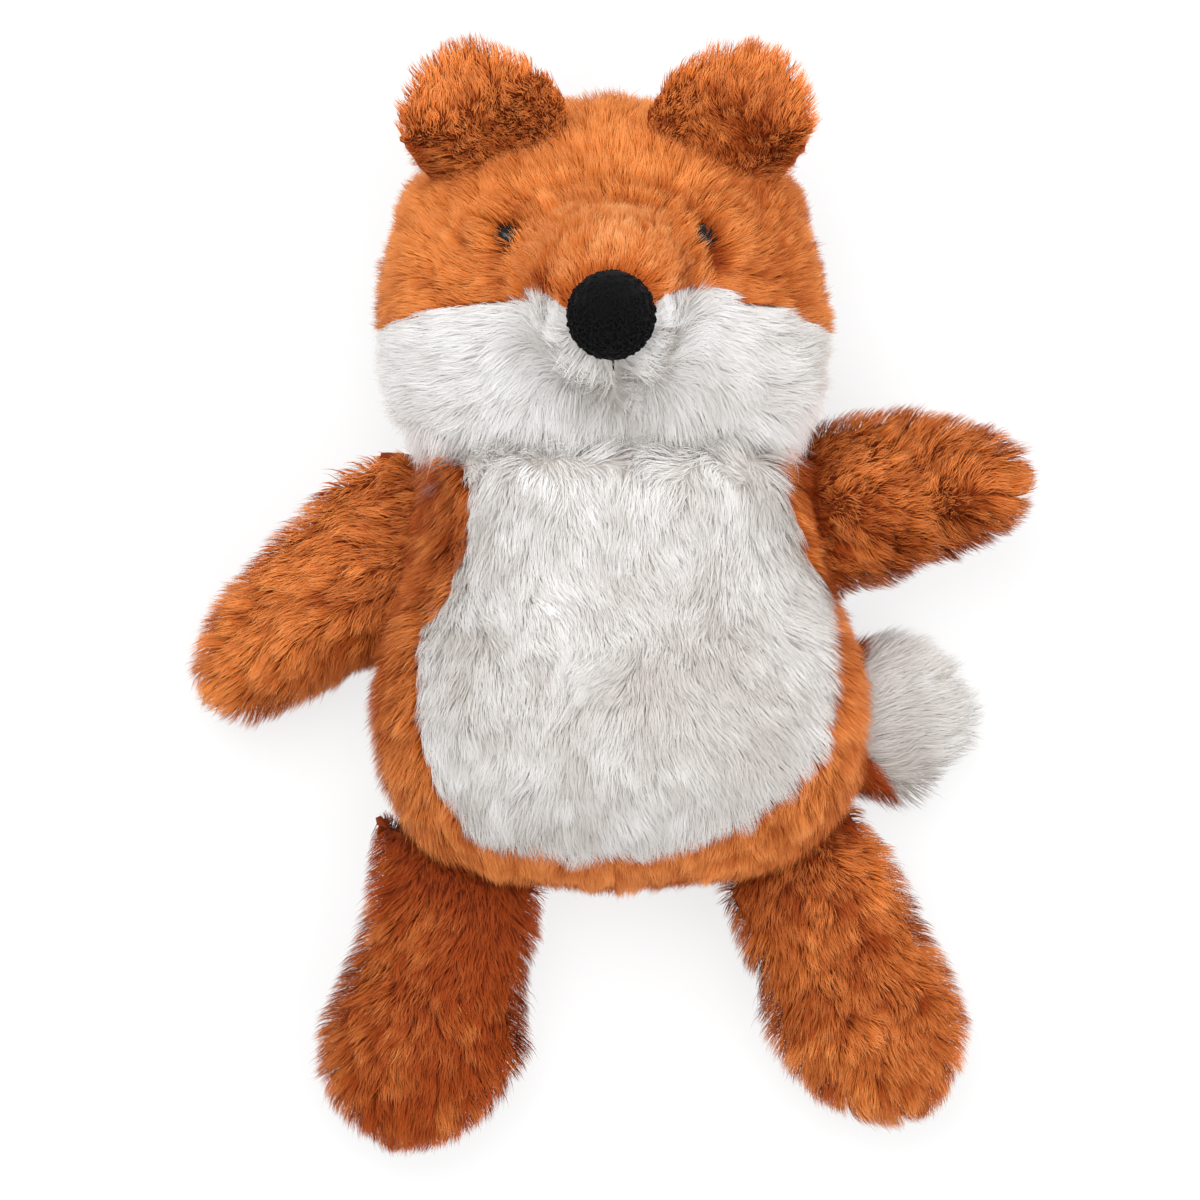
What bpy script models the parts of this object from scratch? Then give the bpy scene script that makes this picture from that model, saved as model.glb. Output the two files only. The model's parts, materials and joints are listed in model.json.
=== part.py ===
# Plush fox, lying on its back. Metres, +Z up out of the belly, +Y towards the head.
# The origin lies on the flat of the back. Left and right are the fox's own: its left is at +X.

import math
from dataclasses import dataclass

import bmesh
import bpy
import numpy as np
from mathutils import Vector

MM = 0.001

# Sewing and lying
GAP = 0.3 * MM  # between neighbouring pieces, also across a seam
FILLING_EASE = 0.8 * MM  # between a panel and the filling under it
FLAT_DEPTH = 0.5 * MM  # how deep the back is pressed flat
FLOOR_LIFT = 1.0 * MM  # the other forms stay this far above what the back lies on
CUT_OVERRUN = 6.0 * MM  # cutters stand out of the pieces they cut by this much
CORE_SIDES_STEP = 2  # a filling's net keeps every second side of the plush over it

# Torso
TORSO_LENGTH = 116.0 * MM
TORSO_FOOT = 53.0 * MM  # from the origin down to the lowest point of the rump
TORSO_WIDTH = 122.0 * MM
TORSO_DEPTH = 82.0 * MM
TORSO_PILE = 6.0 * MM  # thickness of a plush panel, cloth and pile together
TORSO_SIDES = 32
TORSO_POWER = 2.4  # 2 is an ellipse, more is squarer
# Along the torso, half width, height of the back, height of the belly
TORSO_SHARES = (
    (0.00, 0.00, 0.40, 0.40),
    (0.03, 0.55, 0.20, 0.57),
    (0.075, 0.75, 0.10, 0.70),
    (0.15, 0.89, 0.03, 0.84),
    (0.26, 0.97, 0.00, 0.95),
    (0.40, 1.00, 0.00, 1.00),
    (0.55, 0.96, 0.00, 0.98),
    (0.70, 0.85, 0.00, 0.91),
    (0.82, 0.79, 0.02, 0.88),
    (0.90, 0.73, 0.05, 0.82),
    (0.96, 0.60, 0.12, 0.71),
    (1.00, 0.00, 0.40, 0.40),
)
BELLY_FIRST_SIDE = 3  # the white panel starts this many sides above the flank
BELLY_FIRST_BAND = 3
BELLY_LAST_BAND = 10

# Head
HEAD_LENGTH = 97.0 * MM
HEAD_WIDTH = 113.0 * MM
HEAD_DEPTH = 83.0 * MM
HEAD_OVER_NECK = 12.0 * MM  # the chin reaches down past the top of the torso by this much
HEAD_ASIDE = -2.5 * MM  # the head lies a little to the fox's right
HEAD_PILE = 6.0 * MM
HEAD_SIDES = 28
HEAD_POWER = 2.2
# Along the head from chin to crown, half width, height of the back, height of the face
HEAD_SHARES = (
    (0.00, 0.00, 0.46, 0.46),
    (0.05, 0.68, 0.21, 0.73),
    (0.11, 0.86, 0.12, 0.84),
    (0.19, 0.96, 0.05, 0.91),
    (0.30, 1.00, 0.01, 0.98),
    (0.39, 1.00, 0.00, 1.00),
    (0.54, 0.94, 0.00, 0.98),
    (0.66, 0.87, 0.03, 0.93),
    (0.76, 0.77, 0.08, 0.85),
    (0.86, 0.60, 0.18, 0.74),
    (0.94, 0.39, 0.28, 0.62),
    (1.00, 0.00, 0.44, 0.44),
)
CROWN_FIRST_BAND = 5

# Neck seat, a round the head turns on
NECK_SIDES = 32
NECK_REACH_SHARE = 0.5  # how far down the torso the round follows the shoulders

# Muzzle, rising out of the face
MUZZLE_WIDTH = 47.0 * MM
MUZZLE_HEIGHT = 50.0 * MM
MUZZLE_RISE = 18.0 * MM  # above the face
MUZZLE_ROOT = 20.0 * MM  # below the face, cut away by it
MUZZLE_PILE = 4.0 * MM
MUZZLE_SIDES = 20
MUZZLE_ALONG_SHARE = 0.45  # of the head's length
MUZZLE_ASIDE = 1.5 * MM  # from the middle of the head
# Up the muzzle, half width, how far it leans to the chin
MUZZLE_SHARES = (
    (0.00, 0.00, 0.00),
    (0.06, 0.98, 0.00),
    (0.48, 1.00, 0.00),
    (0.66, 0.93, 0.02),
    (0.80, 0.79, 0.04),
    (0.91, 0.59, 0.06),
    (0.98, 0.32, 0.07),
    (1.00, 0.00, 0.07),
)

# Nose
NOSE_RADIUS = 10.6 * MM
NOSE_SEAT_SHARE = 0.50  # of its radius, sunk into the tip of the muzzle
NOSE_POINT_SHARE = 0.12  # how far the underside draws to a point
NOSE_POINT_POWER = 4  # higher is a narrower point
NOSE_SIDES = 20
NOSE_RINGS = 12

# Eyes
EYE_RADIUS = 3.6 * MM
EYE_DOME = 2.8 * MM
EYE_STEM_RADIUS = 1.2 * MM
EYE_CLEARANCE = 0.6 * MM  # from the plush up to the bead and down to the washer
EYE_APART = 49.0 * MM
EYE_ALONG_SHARE = 0.61
EYE_SIDES = 16
EYE_DOME_STEPS = 4
WASHER_RADIUS = 4.2 * MM
WASHER_THICKNESS = 1.2 * MM
STEM_PAST_WASHER = 1.0 * MM

# Limbs and ears
LIMB_SIDES = 16
LIMB_PILE = 4.0 * MM
THIN_PILE_SHARE = 0.45  # of the half thickness, where a form is too thin for its whole pile
ROOT_RADIUS = 5.5 * MM  # the pinched end that turns in the seam
ROOT_STAND_OFF = 5.0 * MM  # from the skin to the line that the end turns on
ROOT_STEPS = 3

ARM_LENGTH = 58.0 * MM
ARM_HALF_WIDTH = 20.0 * MM
ARM_HALF_THICKNESS = 15.0 * MM
# Along the limb, half width, half thickness
ARM_SHARES = (
    (0.00, 1.08, None),
    (0.12, 1.06, 0.44),
    (0.28, 1.03, 0.66),
    (0.48, 0.98, 0.92),
    (0.70, 0.92, 1.00),
    (0.84, 0.78, 0.88),
    (0.94, 0.54, 0.62),
    (0.985, 0.28, 0.34),
    (1.00, 0.00, 0.00),
)
LEG_LENGTH = 68.0 * MM
LEG_HALF_WIDTH = 25.5 * MM
LEG_HALF_THICKNESS = 17.0 * MM
LEG_SHARES = (
    (0.00, 0.90, None),
    (0.12, 0.91, 0.44),
    (0.28, 0.93, 0.68),
    (0.48, 0.94, 0.90),
    (0.68, 1.00, 1.00),
    (0.83, 0.88, 0.90),
    (0.93, 0.62, 0.66),
    (0.985, 0.30, 0.34),
    (1.00, 0.00, 0.00),
)
TAIL_LENGTH = 34.0 * MM
TAIL_HALF_WIDTH = 19.0 * MM
TAIL_HALF_THICKNESS = 12.0 * MM
TAIL_SHARES = (
    (0.00, 0.80, None),
    (0.17, 0.94, 0.72),
    (0.32, 1.00, 0.92),
    (0.50, 1.00, 1.00),
    (0.70, 0.86, 0.88),
    (0.88, 0.58, 0.62),
    (0.97, 0.30, 0.34),
    (1.00, 0.00, 0.00),
)
TAIL_TIP_BAND = 5  # the white tip starts at this band of the net
EAR_LENGTH = 30.0 * MM
EAR_HALF_WIDTH = 20.0 * MM
EAR_HALF_THICKNESS = 5.5 * MM
EAR_ROOT_RADIUS = 3.0 * MM
EAR_STAND_OFF = 2.4 * MM
EAR_PILE_SHARE = 0.2  # the ears are of a thinner cloth
EAR_CUP_SHARE = 0.22  # how far the rims curl forward, of the half width
EAR_SHARES = (
    (0.00, 0.86, None),
    (0.15, 0.96, 0.80),
    (0.35, 1.00, 1.00),
    (0.57, 0.94, 1.00),
    (0.76, 0.78, 0.90),
    (0.90, 0.52, 0.70),
    (0.98, 0.26, 0.36),
    (1.00, 0.00, 0.00),
)

# Colours of the plush and of the hard parts, sRGB
ORANGE = "C4622A"
PALE_ORANGE = "DB8240"
WHITE = "E8E5E2"
FILLING = "F2F0EC"
BLACK_YARN = "0B0B0C"
BLACK_PLASTIC = "101012"
CLEAR_PLASTIC = "D8DADC"

PLUSH_ROUGHNESS = 0.95
FILLING_ROUGHNESS = 1.0
YARN_ROUGHNESS = 0.9
BEAD_ROUGHNESS = 0.15
WASHER_ROUGHNESS = 0.4

SMOOTH_ANGLE = math.radians(50)
TURN_STEP_SHARE = 0.01  # the step by which a form's slope is read


@dataclass(frozen=True)
class Joinery:
    """How one limb leaves the form that carries it. Angles are in degrees.

    along is a share of the carrier's length, round the angle of the root around it,
    seam the way out of the seam in plan, heading the way from the seam to the limb's tip,
    climb the share of its length that the tip rises by, and bend the share of its length
    that first runs straight out of the seam. A limb without a climb lies on the ground.
    """

    along: float
    round: float
    seam: float
    heading: float
    climb: float
    bend: float


LIMB_JOINERY = {
    "arm_left": Joinery(0.79, -14, 15, 9, 0.42, 0.40),
    "arm_right": Joinery(0.71, 194, 164, 220, None, 0.44),
    "leg_left": Joinery(0.075, -16, -56, -64, None, 0.36),
    "leg_right": Joinery(0.06, 197, -111, -98, None, 0.36),
    "tail": Joinery(0.37, -32, 0, 6, None, 0.40),
}
EAR_JOINERY = {
    "ear_left": Joinery(0.79, 46, 60, 76, 0, 0.36),
    "ear_right": Joinery(0.79, 134, 114, 97, 0.16, 0.40),
}


def linear(channel):
    """One sRGB channel as linear light."""
    if channel <= 0.04045:
        return channel / 12.92
    return ((channel + 0.055) / 1.055) ** 2.4


def material(name, colour, roughness):
    """A plain Principled material of one colour."""
    made = bpy.data.materials.new(name)
    made.use_nodes = True
    shader = made.node_tree.nodes["Principled BSDF"]
    rgb = [linear(int(colour[i : i + 2], 16) / 255) for i in (0, 2, 4)]
    shader.inputs["Base Color"].default_value = (*rgb, 1)
    shader.inputs["Roughness"].default_value = roughness
    shader.inputs["Metallic"].default_value = 0
    made.diffuse_color = (*rgb, 1)
    return made


def rounded(value, power):
    """A cosine or sine, bent from an ellipse towards a squarer section."""
    return math.copysign(abs(value) ** (2 / power), value)


@dataclass(frozen=True)
class Profile:
    """Sections along Y, each with its own width, back line and front line."""

    rows: tuple
    foot: float
    length: float
    width: float
    depth: float
    aside: float
    base: float
    power: float

    def section(self, along):
        """Half width, middle height and half depth at a share of the length."""
        shares = np.array(self.rows)
        wide, back, front = (np.interp(along, shares[:, 0], shares[:, i]) for i in (1, 2, 3))
        middle = self.base + self.depth * (back + front) / 2
        return self.width / 2 * wide, middle, self.depth * (front - back) / 2

    def point(self, along, angle):
        """The skin at a share of the length and an angle from +X towards +Z."""
        wide, middle, deep = self.section(along)
        return Vector(
            (
                self.aside + wide * rounded(math.cos(angle), self.power),
                self.foot + along * self.length,
                middle + deep * rounded(math.sin(angle), self.power),
            )
        )

    def upward(self, along, angle):
        """The skin's own direction towards the head."""
        step = TURN_STEP_SHARE
        return (self.point(along + step, angle) - self.point(along - step, angle)).normalized()

    def normal(self, along, angle):
        """The skin's outward direction."""
        step = TURN_STEP_SHARE * math.pi
        across = self.point(along, angle + step) - self.point(along, angle - step)
        return self.upward(along, angle).cross(across).normalized()


class Form:
    """A stuffed form as a net of points: rings between a first and a last pole."""

    def __init__(self, rings, first, last):
        self.rings = rings
        self.first = first
        self.last = last

    def __len__(self):
        return len(self.rings)

    @property
    def sides(self):
        return len(self.rings[0])

    def mesh(self):
        """The net as one closed bmesh, facing out."""
        made = bmesh.new()
        first = made.verts.new(self.first)
        rings = [[made.verts.new(p) for p in ring] for ring in self.rings]
        last = made.verts.new(self.last)
        for i in range(self.sides):
            j = (i + 1) % self.sides
            made.faces.new((first, rings[0][i], rings[0][j]))
            made.faces.new((last, rings[-1][j], rings[-1][i]))
            for low, high in zip(rings, rings[1:]):
                made.faces.new((low[i], high[i], high[j], low[j]))
        bmesh.ops.recalc_face_normals(made, faces=made.faces)
        made.normal_update()
        return made

    def grown(self, distances):
        """The same net moved along its normals: one distance a ring, the poles included."""
        net = self.mesh()
        net.verts.ensure_lookup_table()
        first = net.verts[0].co + net.verts[0].normal * distances[0]
        rings = []
        for r, distance in enumerate(distances[1:-1]):
            verts = net.verts[1 + r * self.sides : 1 + (r + 1) * self.sides]
            rings.append([v.co + v.normal * distance for v in verts])
        end = net.verts[len(net.verts) - 1]
        last = end.co + end.normal * distances[-1]
        net.free()
        return Form(rings, first, last)

    def thinned(self):
        """The same net with fewer sides, for the filling."""
        return Form([ring[::CORE_SIDES_STEP] for ring in self.rings], self.first, self.last)


def drawn_in(form, keep, ring, side):
    """A point of the net, moved half a seam gap into the kept cells if it lies on their edge."""
    sides = form.sides
    here = form.rings[ring][side]
    low_left = keep[ring][side - 1]
    low_right = keep[ring][side]
    high_left = keep[ring + 1][side - 1]
    high_right = keep[ring + 1][side]
    moved = here.copy()
    across = (low_right + high_right) - (low_left + high_left)
    if across:
        to = form.rings[ring][(side + int(math.copysign(1, across))) % sides]
        moved += (to - here).normalized() * GAP / 2
    along = (high_left + high_right) - (low_left + low_right)
    if along > 0:
        to = form.last if ring == len(form) - 1 else form.rings[ring + 1][side]
        moved += (to - here).normalized() * GAP / 2
    if along < 0:
        to = form.first if ring == 0 else form.rings[ring - 1][side]
        moved += (to - here).normalized() * GAP / 2
    return moved


def drawn_pole(pole, ring, kept):
    """A pole, moved half a seam gap towards the kept cells round it."""
    if all(kept) or not any(kept):
        return pole.copy()
    inside = [p for p, k in zip(ring, kept) if k]
    middle = sum(inside, Vector()) / len(inside)
    return pole + (middle - pole).normalized() * GAP / 2


def panel_mesh(outer, inner, keep):
    """A closed shell between two nets, over the cells that keep names band by band."""
    made = bmesh.new()
    layers = []
    for form in (outer, inner):
        first = made.verts.new(drawn_pole(form.first, form.rings[0], keep[0]))
        rings = [
            [made.verts.new(drawn_in(form, keep, r, s)) for s in range(form.sides)]
            for r in range(len(form))
        ]
        last = made.verts.new(drawn_pole(form.last, form.rings[-1], keep[-1]))
        layers.append((first, rings, last))

    def corners(layer, band, side):
        """The corners of one cell: left low, right low, right high, left high."""
        first, rings, last = layer
        right = (side + 1) % outer.sides
        low = (first, first) if band == 0 else (rings[band - 1][side], rings[band - 1][right])
        high = (last, last) if band == len(rings) else (rings[band][side], rings[band][right])
        return low[0], low[1], high[1], high[0]

    def order(band, side):
        """The same corners by their place in the net, so that both sides of a seam agree."""
        right = (side + 1) % outer.sides
        return (band, side), (band, right), (band + 1, right), (band + 1, side)

    for band in range(len(outer) + 1):
        for side in range(outer.sides):
            if not keep[band][side]:
                continue
            out = corners(layers[0], band, side)
            within = corners(layers[1], band, side)
            made.faces.new(tuple(dict.fromkeys(out)))
            made.faces.new(tuple(dict.fromkeys(reversed(within))))
            beside = (
                (0, 1, band > 0 and not keep[band - 1][side]),
                (1, 2, not keep[band][(side + 1) % outer.sides]),
                (2, 3, band < len(outer) and not keep[band + 1][side]),
                (3, 0, not keep[band][side - 1]),
            )
            places = order(band, side)
            for a, b, is_edge in beside:
                if not is_edge:
                    continue
                if places[a] > places[b]:
                    a, b = b, a
                made.faces.new((out[a], out[b], within[b]))
                made.faces.new((out[a], within[b], within[a]))
    bmesh.ops.delete(made, geom=[v for v in made.verts if not v.link_faces], context="VERTS")
    bmesh.ops.recalc_face_normals(made, faces=made.faces)
    return made


def cells(form, wanted):
    """Which cells of a net belong to a panel, from a test of band and side."""
    return [[bool(wanted(b, s)) for s in range(form.sides)] for b in range(len(form) + 1)]


def front_half(form):
    return cells(form, lambda band, side: side < form.sides // 2)


def back_half(form):
    return cells(form, lambda band, side: side >= form.sides // 2)


def add(name, mesh, finish, parent=None, guide=False):
    """An object from a bmesh. Its mesh is kept round its parent, which lies on the seam's axis."""
    data = bpy.data.meshes.new(name)
    place = parent.location if parent else Vector()
    bmesh.ops.translate(mesh, verts=mesh.verts, vec=-place)
    mesh.to_mesh(data)
    mesh.free()
    made = bpy.data.objects.new(name, data)
    bpy.context.scene.collection.objects.link(made)
    made.parent = parent
    if guide:
        made.hide_render = True
        made.display_type = "WIRE"
        return made
    data.shade_smooth()
    data.set_sharp_from_angle(angle=SMOOTH_ANGLE)
    data.materials.append(finish)
    return made


def axis_empty(name, place):
    """An empty on a seam's axis, which carries the pieces that fold there."""
    made = bpy.data.objects.new(name, None)
    made.location = place
    bpy.context.scene.collection.objects.link(made)
    return made


def cut(piece, cutter, name):
    """Takes the cutter's shape out of the piece."""
    modifier = piece.modifiers.new(name, "BOOLEAN")
    modifier.operation = "DIFFERENCE"
    modifier.solver = "EXACT"
    modifier.object = cutter


def lathe(profile, sides):
    """A closed bmesh of (radius, height) points turned round Z, ending on the axis or as a ring."""
    made = bmesh.new()
    rings = []
    for radius, height in profile:
        if radius == 0:
            rings.append([made.verts.new((0, 0, height))] * sides)
            continue
        angles = [2 * math.pi * i / sides for i in range(sides)]
        spots = [(radius * math.cos(a), radius * math.sin(a), height) for a in angles]
        rings.append([made.verts.new(spot) for spot in spots])
    pairs = list(zip(rings, rings[1:]))
    if profile[0][0] > 0:
        pairs.append((rings[-1], rings[0]))
    for low, high in pairs:
        for i in range(sides):
            j = (i + 1) % sides
            made.faces.new(tuple(dict.fromkeys((low[i], low[j], high[j], high[i]))))
    bmesh.ops.recalc_face_normals(made, faces=made.faces)
    return made


def turned_to(mesh, place, direction):
    """The bmesh with its Z axis laid along a direction, at a place."""
    turn = direction.to_track_quat("Z", "Y")
    bmesh.ops.rotate(mesh, verts=mesh.verts, cent=(0, 0, 0), matrix=turn.to_matrix())
    bmesh.ops.translate(mesh, verts=mesh.verts, vec=place)
    return mesh


def profile_form(profile, sides):
    """The net of a torso or a head."""
    angles = [2 * math.pi * i / sides for i in range(sides)]
    rings = [[profile.point(row[0], a) for a in angles] for row in profile.rows[1:-1]]
    return Form(rings, profile.point(profile.rows[0][0], 0), profile.point(profile.rows[-1][0], 0))


@dataclass(frozen=True)
class Limb:
    """The sizes of an arm, leg, tail or ear, and the shares of its sections."""

    rows: tuple
    length: float
    half_width: float
    half_thickness: float
    root_radius: float
    stand_off: float
    pile_share: float = THIN_PILE_SHARE
    cup: float = 0.0


@dataclass(frozen=True)
class Seam:
    """The line that a limb folds at: its middle, and the ways out of the seam and to the front."""

    place: Vector
    outward: Vector
    front: Vector

    @property
    def axis(self):
        """A turn about this axis brings the limb forward."""
        return self.outward.cross(self.front).normalized()

    @property
    def side(self):
        return -self.axis


def section_ring(seam, limb, centre, heading, width, thickness, cup_scale):
    """One ring of a limb, square to its heading."""
    side = seam.front.cross(heading).normalized()
    front = heading.cross(side).normalized()
    ring = []
    for i in range(LIMB_SIDES):
        angle = 2 * math.pi * i / LIMB_SIDES
        across = math.cos(angle)
        curl = limb.cup * cup_scale * (width * across) ** 2 / limb.half_width
        ring.append(
            centre + side * (width * across) + front * (thickness * math.sin(angle) + curl)
        )
    return ring


def limb_form(limb, seam, tip, bend):
    """The net of a limb: a pinched end that turns in its seam, then a body along a curved line."""
    control = seam.place + seam.outward * (limb.length * bend)
    rings = []
    root_width = limb.half_width * limb.rows[0][1]
    for step in range(1, ROOT_STEPS + 1):
        turn = math.pi / 2 * step / (ROOT_STEPS + 1)
        back = -limb.root_radius * math.cos(turn)
        scale = math.sin(turn)
        centre = seam.place + seam.outward * back
        width, thickness = root_width * scale, limb.root_radius * scale
        rings.append(section_ring(seam, limb, centre, seam.outward, width, thickness, 0))
    for along, wide, thick in limb.rows[:-1]:
        near = seam.place.lerp(control, along)
        far = control.lerp(tip, along)
        centre = near.lerp(far, along)
        heading = (far - near).normalized()
        width = limb.half_width * wide
        thickness = limb.root_radius if thick is None else limb.half_thickness * thick
        rings.append(section_ring(seam, limb, centre, heading, width, thickness, along))
    return Form(rings, seam.place - seam.outward * limb.root_radius, tip)


def pile_of(limb, pile):
    """How thick the plush is at each ring: thinner where the form is pinched."""
    thin = limb.root_radius * limb.pile_share
    steps = [thin] * (1 + ROOT_STEPS)
    for _, _, thick in limb.rows[:-1]:
        here = limb.root_radius if thick is None else limb.half_thickness * thick
        steps.append(min(pile, here * limb.pile_share))
    full = min(pile, limb.half_thickness * limb.pile_share)
    fullest = steps.index(max(steps))
    steps = steps[:fullest] + [full] * (len(steps) - fullest)
    return steps + [full]


def inside_of(form, steps, more):
    """The net under a plush of those thicknesses, and a little more."""
    return form.grown([-step - more for step in steps])


def in_plan(degrees):
    """A direction in plan, from +X towards +Y."""
    angle = math.radians(degrees)
    return Vector((math.cos(angle), math.sin(angle), 0))


def seam_on(profile, joinery, stand_off):
    """A seam on a form's skin, whose fold lies in plan."""
    angle = math.radians(joinery.round)
    skin = profile.point(joinery.along, angle)
    normal = profile.normal(joinery.along, angle)
    return Seam(skin + normal * stand_off, in_plan(joinery.seam), Vector((0, 0, 1)))


def limb_tip(seam, limb, joinery):
    """Where a limb ends: its length away from the seam, raised or with its underside off the ground."""
    if joinery.climb is None:
        rise = FLOOR_LIFT + limb.half_thickness - seam.place.z
    else:
        rise = joinery.climb * limb.length
    run = math.sqrt(limb.length**2 - rise**2)
    return seam.place + in_plan(joinery.heading) * run + Vector((0, 0, rise))


def root_seat(name, seam, limb, parent):
    """A guide with the shape that a limb's end turns in, one gap larger all round."""
    width = limb.half_width * limb.rows[0][1]
    made = bmesh.new()
    bmesh.ops.create_uvsphere(made, u_segments=LIMB_SIDES, v_segments=LIMB_SIDES // 2, radius=1)
    for vert in made.verts:
        x, y, z = vert.co
        reach = limb.root_radius + GAP
        vert.co = (
            seam.place
            + seam.axis * (z * (width + GAP))
            + seam.outward * (x * reach)
            + seam.front * (y * reach)
        )
    return add(name, made, None, parent, guide=True)


def stuffed_limb(name, limb, form, parent, finish, filling):
    """A limb of two plush panels sewn round its rim, with its filling."""
    steps = pile_of(limb, LIMB_PILE)
    inner = inside_of(form, steps, 0)
    add(f"{name}_front_panel", panel_mesh(form, inner, front_half(form)), finish, parent)
    add(f"{name}_back_panel", panel_mesh(form, inner, back_half(form)), finish, parent)
    core = inside_of(form, steps, FILLING_EASE).thinned()
    add(f"{name}_stuffing", core.mesh(), filling, parent)


def build_torso(finishes):
    """The white belly, the orange back that wraps round the flanks, and the filling."""
    profile = Profile(
        TORSO_SHARES, -TORSO_FOOT, TORSO_LENGTH, TORSO_WIDTH, TORSO_DEPTH, 0, -FLAT_DEPTH, TORSO_POWER
    )
    form = profile_form(profile, TORSO_SIDES)
    steps = [TORSO_PILE] * (len(form) + 2)
    inner = inside_of(form, steps, 0)
    last_side = TORSO_SIDES // 2 - BELLY_FIRST_SIDE

    def on_belly(band, side):
        in_bands = BELLY_FIRST_BAND <= band <= BELLY_LAST_BAND
        return in_bands and BELLY_FIRST_SIDE <= side < last_side

    belly = cells(form, on_belly)
    back = cells(form, lambda band, side: not on_belly(band, side))
    add("belly_panel", panel_mesh(form, inner, belly), finishes["white"])
    back_panel = add("back_panel", panel_mesh(form, inner, back), finishes["orange"])
    core = inside_of(form, steps, FILLING_EASE).thinned()
    add("body_stuffing", core.mesh(), finishes["filling"])
    return profile, back_panel


def flatten_back(back_panel):
    """Presses the back flat where the fox lies on it."""
    block = bmesh.new()
    bmesh.ops.create_cube(block, size=1)
    size = Vector((TORSO_WIDTH, TORSO_LENGTH + TORSO_FOOT, CUT_OVERRUN))
    bmesh.ops.scale(block, verts=block.verts, vec=size)
    bmesh.ops.translate(block, verts=block.verts, vec=(0, 0, -CUT_OVERRUN / 2))
    cut(back_panel, add("flat_cutter", block, None, guide=True), "flat")


def neck_cutter(torso, parent):
    """A guide as round as the shoulders are wide, which hollows the head where it meets them."""
    centre = torso.point(1, 0)
    rows = [(0, centre.y + GAP)]
    for row in reversed(torso.rows[:-1]):
        half_width = torso.section(row[0])[0]
        height = torso.foot + row[0] * torso.length
        if height < centre.y - TORSO_LENGTH * NECK_REACH_SHARE:
            break
        rows.append((half_width + GAP, height + GAP))
    rows.append((0, rows[-1][1]))
    turned = lathe(rows, NECK_SIDES)
    turned_to(turned, Vector((centre.x, 0, centre.z)), Vector((0, 1, 0)))
    return add("neck_cutter", turned, None, parent, guide=True)


def build_head(finishes, torso):
    """The sewn head, with its filling, muzzle, nose, eyes and ears."""
    foot = torso.foot + torso.length - HEAD_OVER_NECK
    profile = Profile(
        HEAD_SHARES, foot, HEAD_LENGTH, HEAD_WIDTH, HEAD_DEPTH, HEAD_ASIDE, FLOOR_LIFT, HEAD_POWER
    )
    form = profile_form(profile, HEAD_SIDES)
    steps = [HEAD_PILE] * (len(form) + 2)
    inner = inside_of(form, steps, 0)
    half = HEAD_SIDES // 2
    neck = torso.point(1, 0)
    pivot = axis_empty("neck_axis", neck)
    socket = neck_cutter(torso, pivot)
    crown = cells(form, lambda band, side: side < half and band >= CROWN_FIRST_BAND)
    cheeks = cells(form, lambda band, side: side < half and band < CROWN_FIRST_BAND)
    rear = back_half(form)
    core = inside_of(form, steps, FILLING_EASE).thinned()
    pieces = {
        "crown": add("head_crown_panel", panel_mesh(form, inner, crown), finishes["orange"], pivot),
        "cheeks": add("head_cheek_panel", panel_mesh(form, inner, cheeks), finishes["white"], pivot),
        "back": add("head_back_panel", panel_mesh(form, inner, rear), finishes["orange"], pivot),
        "stuffing": add("head_stuffing", core.mesh(), finishes["filling"], pivot),
    }
    for piece in pieces.values():
        cut(piece, socket, "neck")
    skin = form.grown([GAP] * (len(form) + 2)).mesh()
    face = add("face_cutter", skin, None, pivot, guide=True)
    build_muzzle(finishes, profile, face, pivot)
    for name, side in (("left", 1), ("right", -1)):
        build_eye(name, side, finishes, profile, pieces, pivot)
    build_ears(finishes, profile, pieces["crown"], pivot)
    print(f"neck axis at {tuple(round(v, 5) for v in neck)}")


def build_muzzle(finishes, head, face, pivot):
    """The raised muzzle: a pale orange top and a white underside over their filling, and the nose."""
    middle = head.point(MUZZLE_ALONG_SHARE, math.pi / 2)
    x = head.aside + MUZZLE_ASIDE
    tall = MUZZLE_ROOT + MUZZLE_RISE
    rings = []
    for up, wide, lean in MUZZLE_SHARES[1:-1]:
        height = middle.z - MUZZLE_ROOT + up * tall
        centre = middle.y - lean * MUZZLE_HEIGHT
        ring = []
        for i in range(MUZZLE_SIDES):
            angle = 2 * math.pi * i / MUZZLE_SIDES
            across = MUZZLE_WIDTH / 2 * wide * math.cos(angle)
            along = MUZZLE_HEIGHT / 2 * wide * math.sin(angle)
            ring.append(Vector((x + across, centre + along, height)))
        rings.append(ring)
    low = Vector((x, middle.y, middle.z - MUZZLE_ROOT))
    top = Vector((x, middle.y - MUZZLE_SHARES[-1][2] * MUZZLE_HEIGHT, middle.z + MUZZLE_RISE))
    form = Form(rings, low, top)
    steps = [MUZZLE_PILE] * (len(form) + 2)
    inner = inside_of(form, steps, 0)
    nose_place = top + Vector((0, 0, NOSE_RADIUS * (1 - NOSE_SEAT_SHARE)))
    seat = nose_ball(nose_place, NOSE_RADIUS + GAP)
    seat = add("nose_cutter", seat, None, pivot, guide=True)
    pieces = (
        add("snout_top_panel", panel_mesh(form, inner, front_half(form)), finishes["pale"], pivot),
        add("snout_under_panel", panel_mesh(form, inner, back_half(form)), finishes["white"], pivot),
        add("snout_stuffing", inside_of(form, steps, GAP).mesh(), finishes["filling"], pivot),
    )
    for piece in pieces:
        cut(piece, face, "face")
        cut(piece, seat, "nose")
    add("nose", nose_ball(nose_place, NOSE_RADIUS), finishes["yarn"], pivot)


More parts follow.
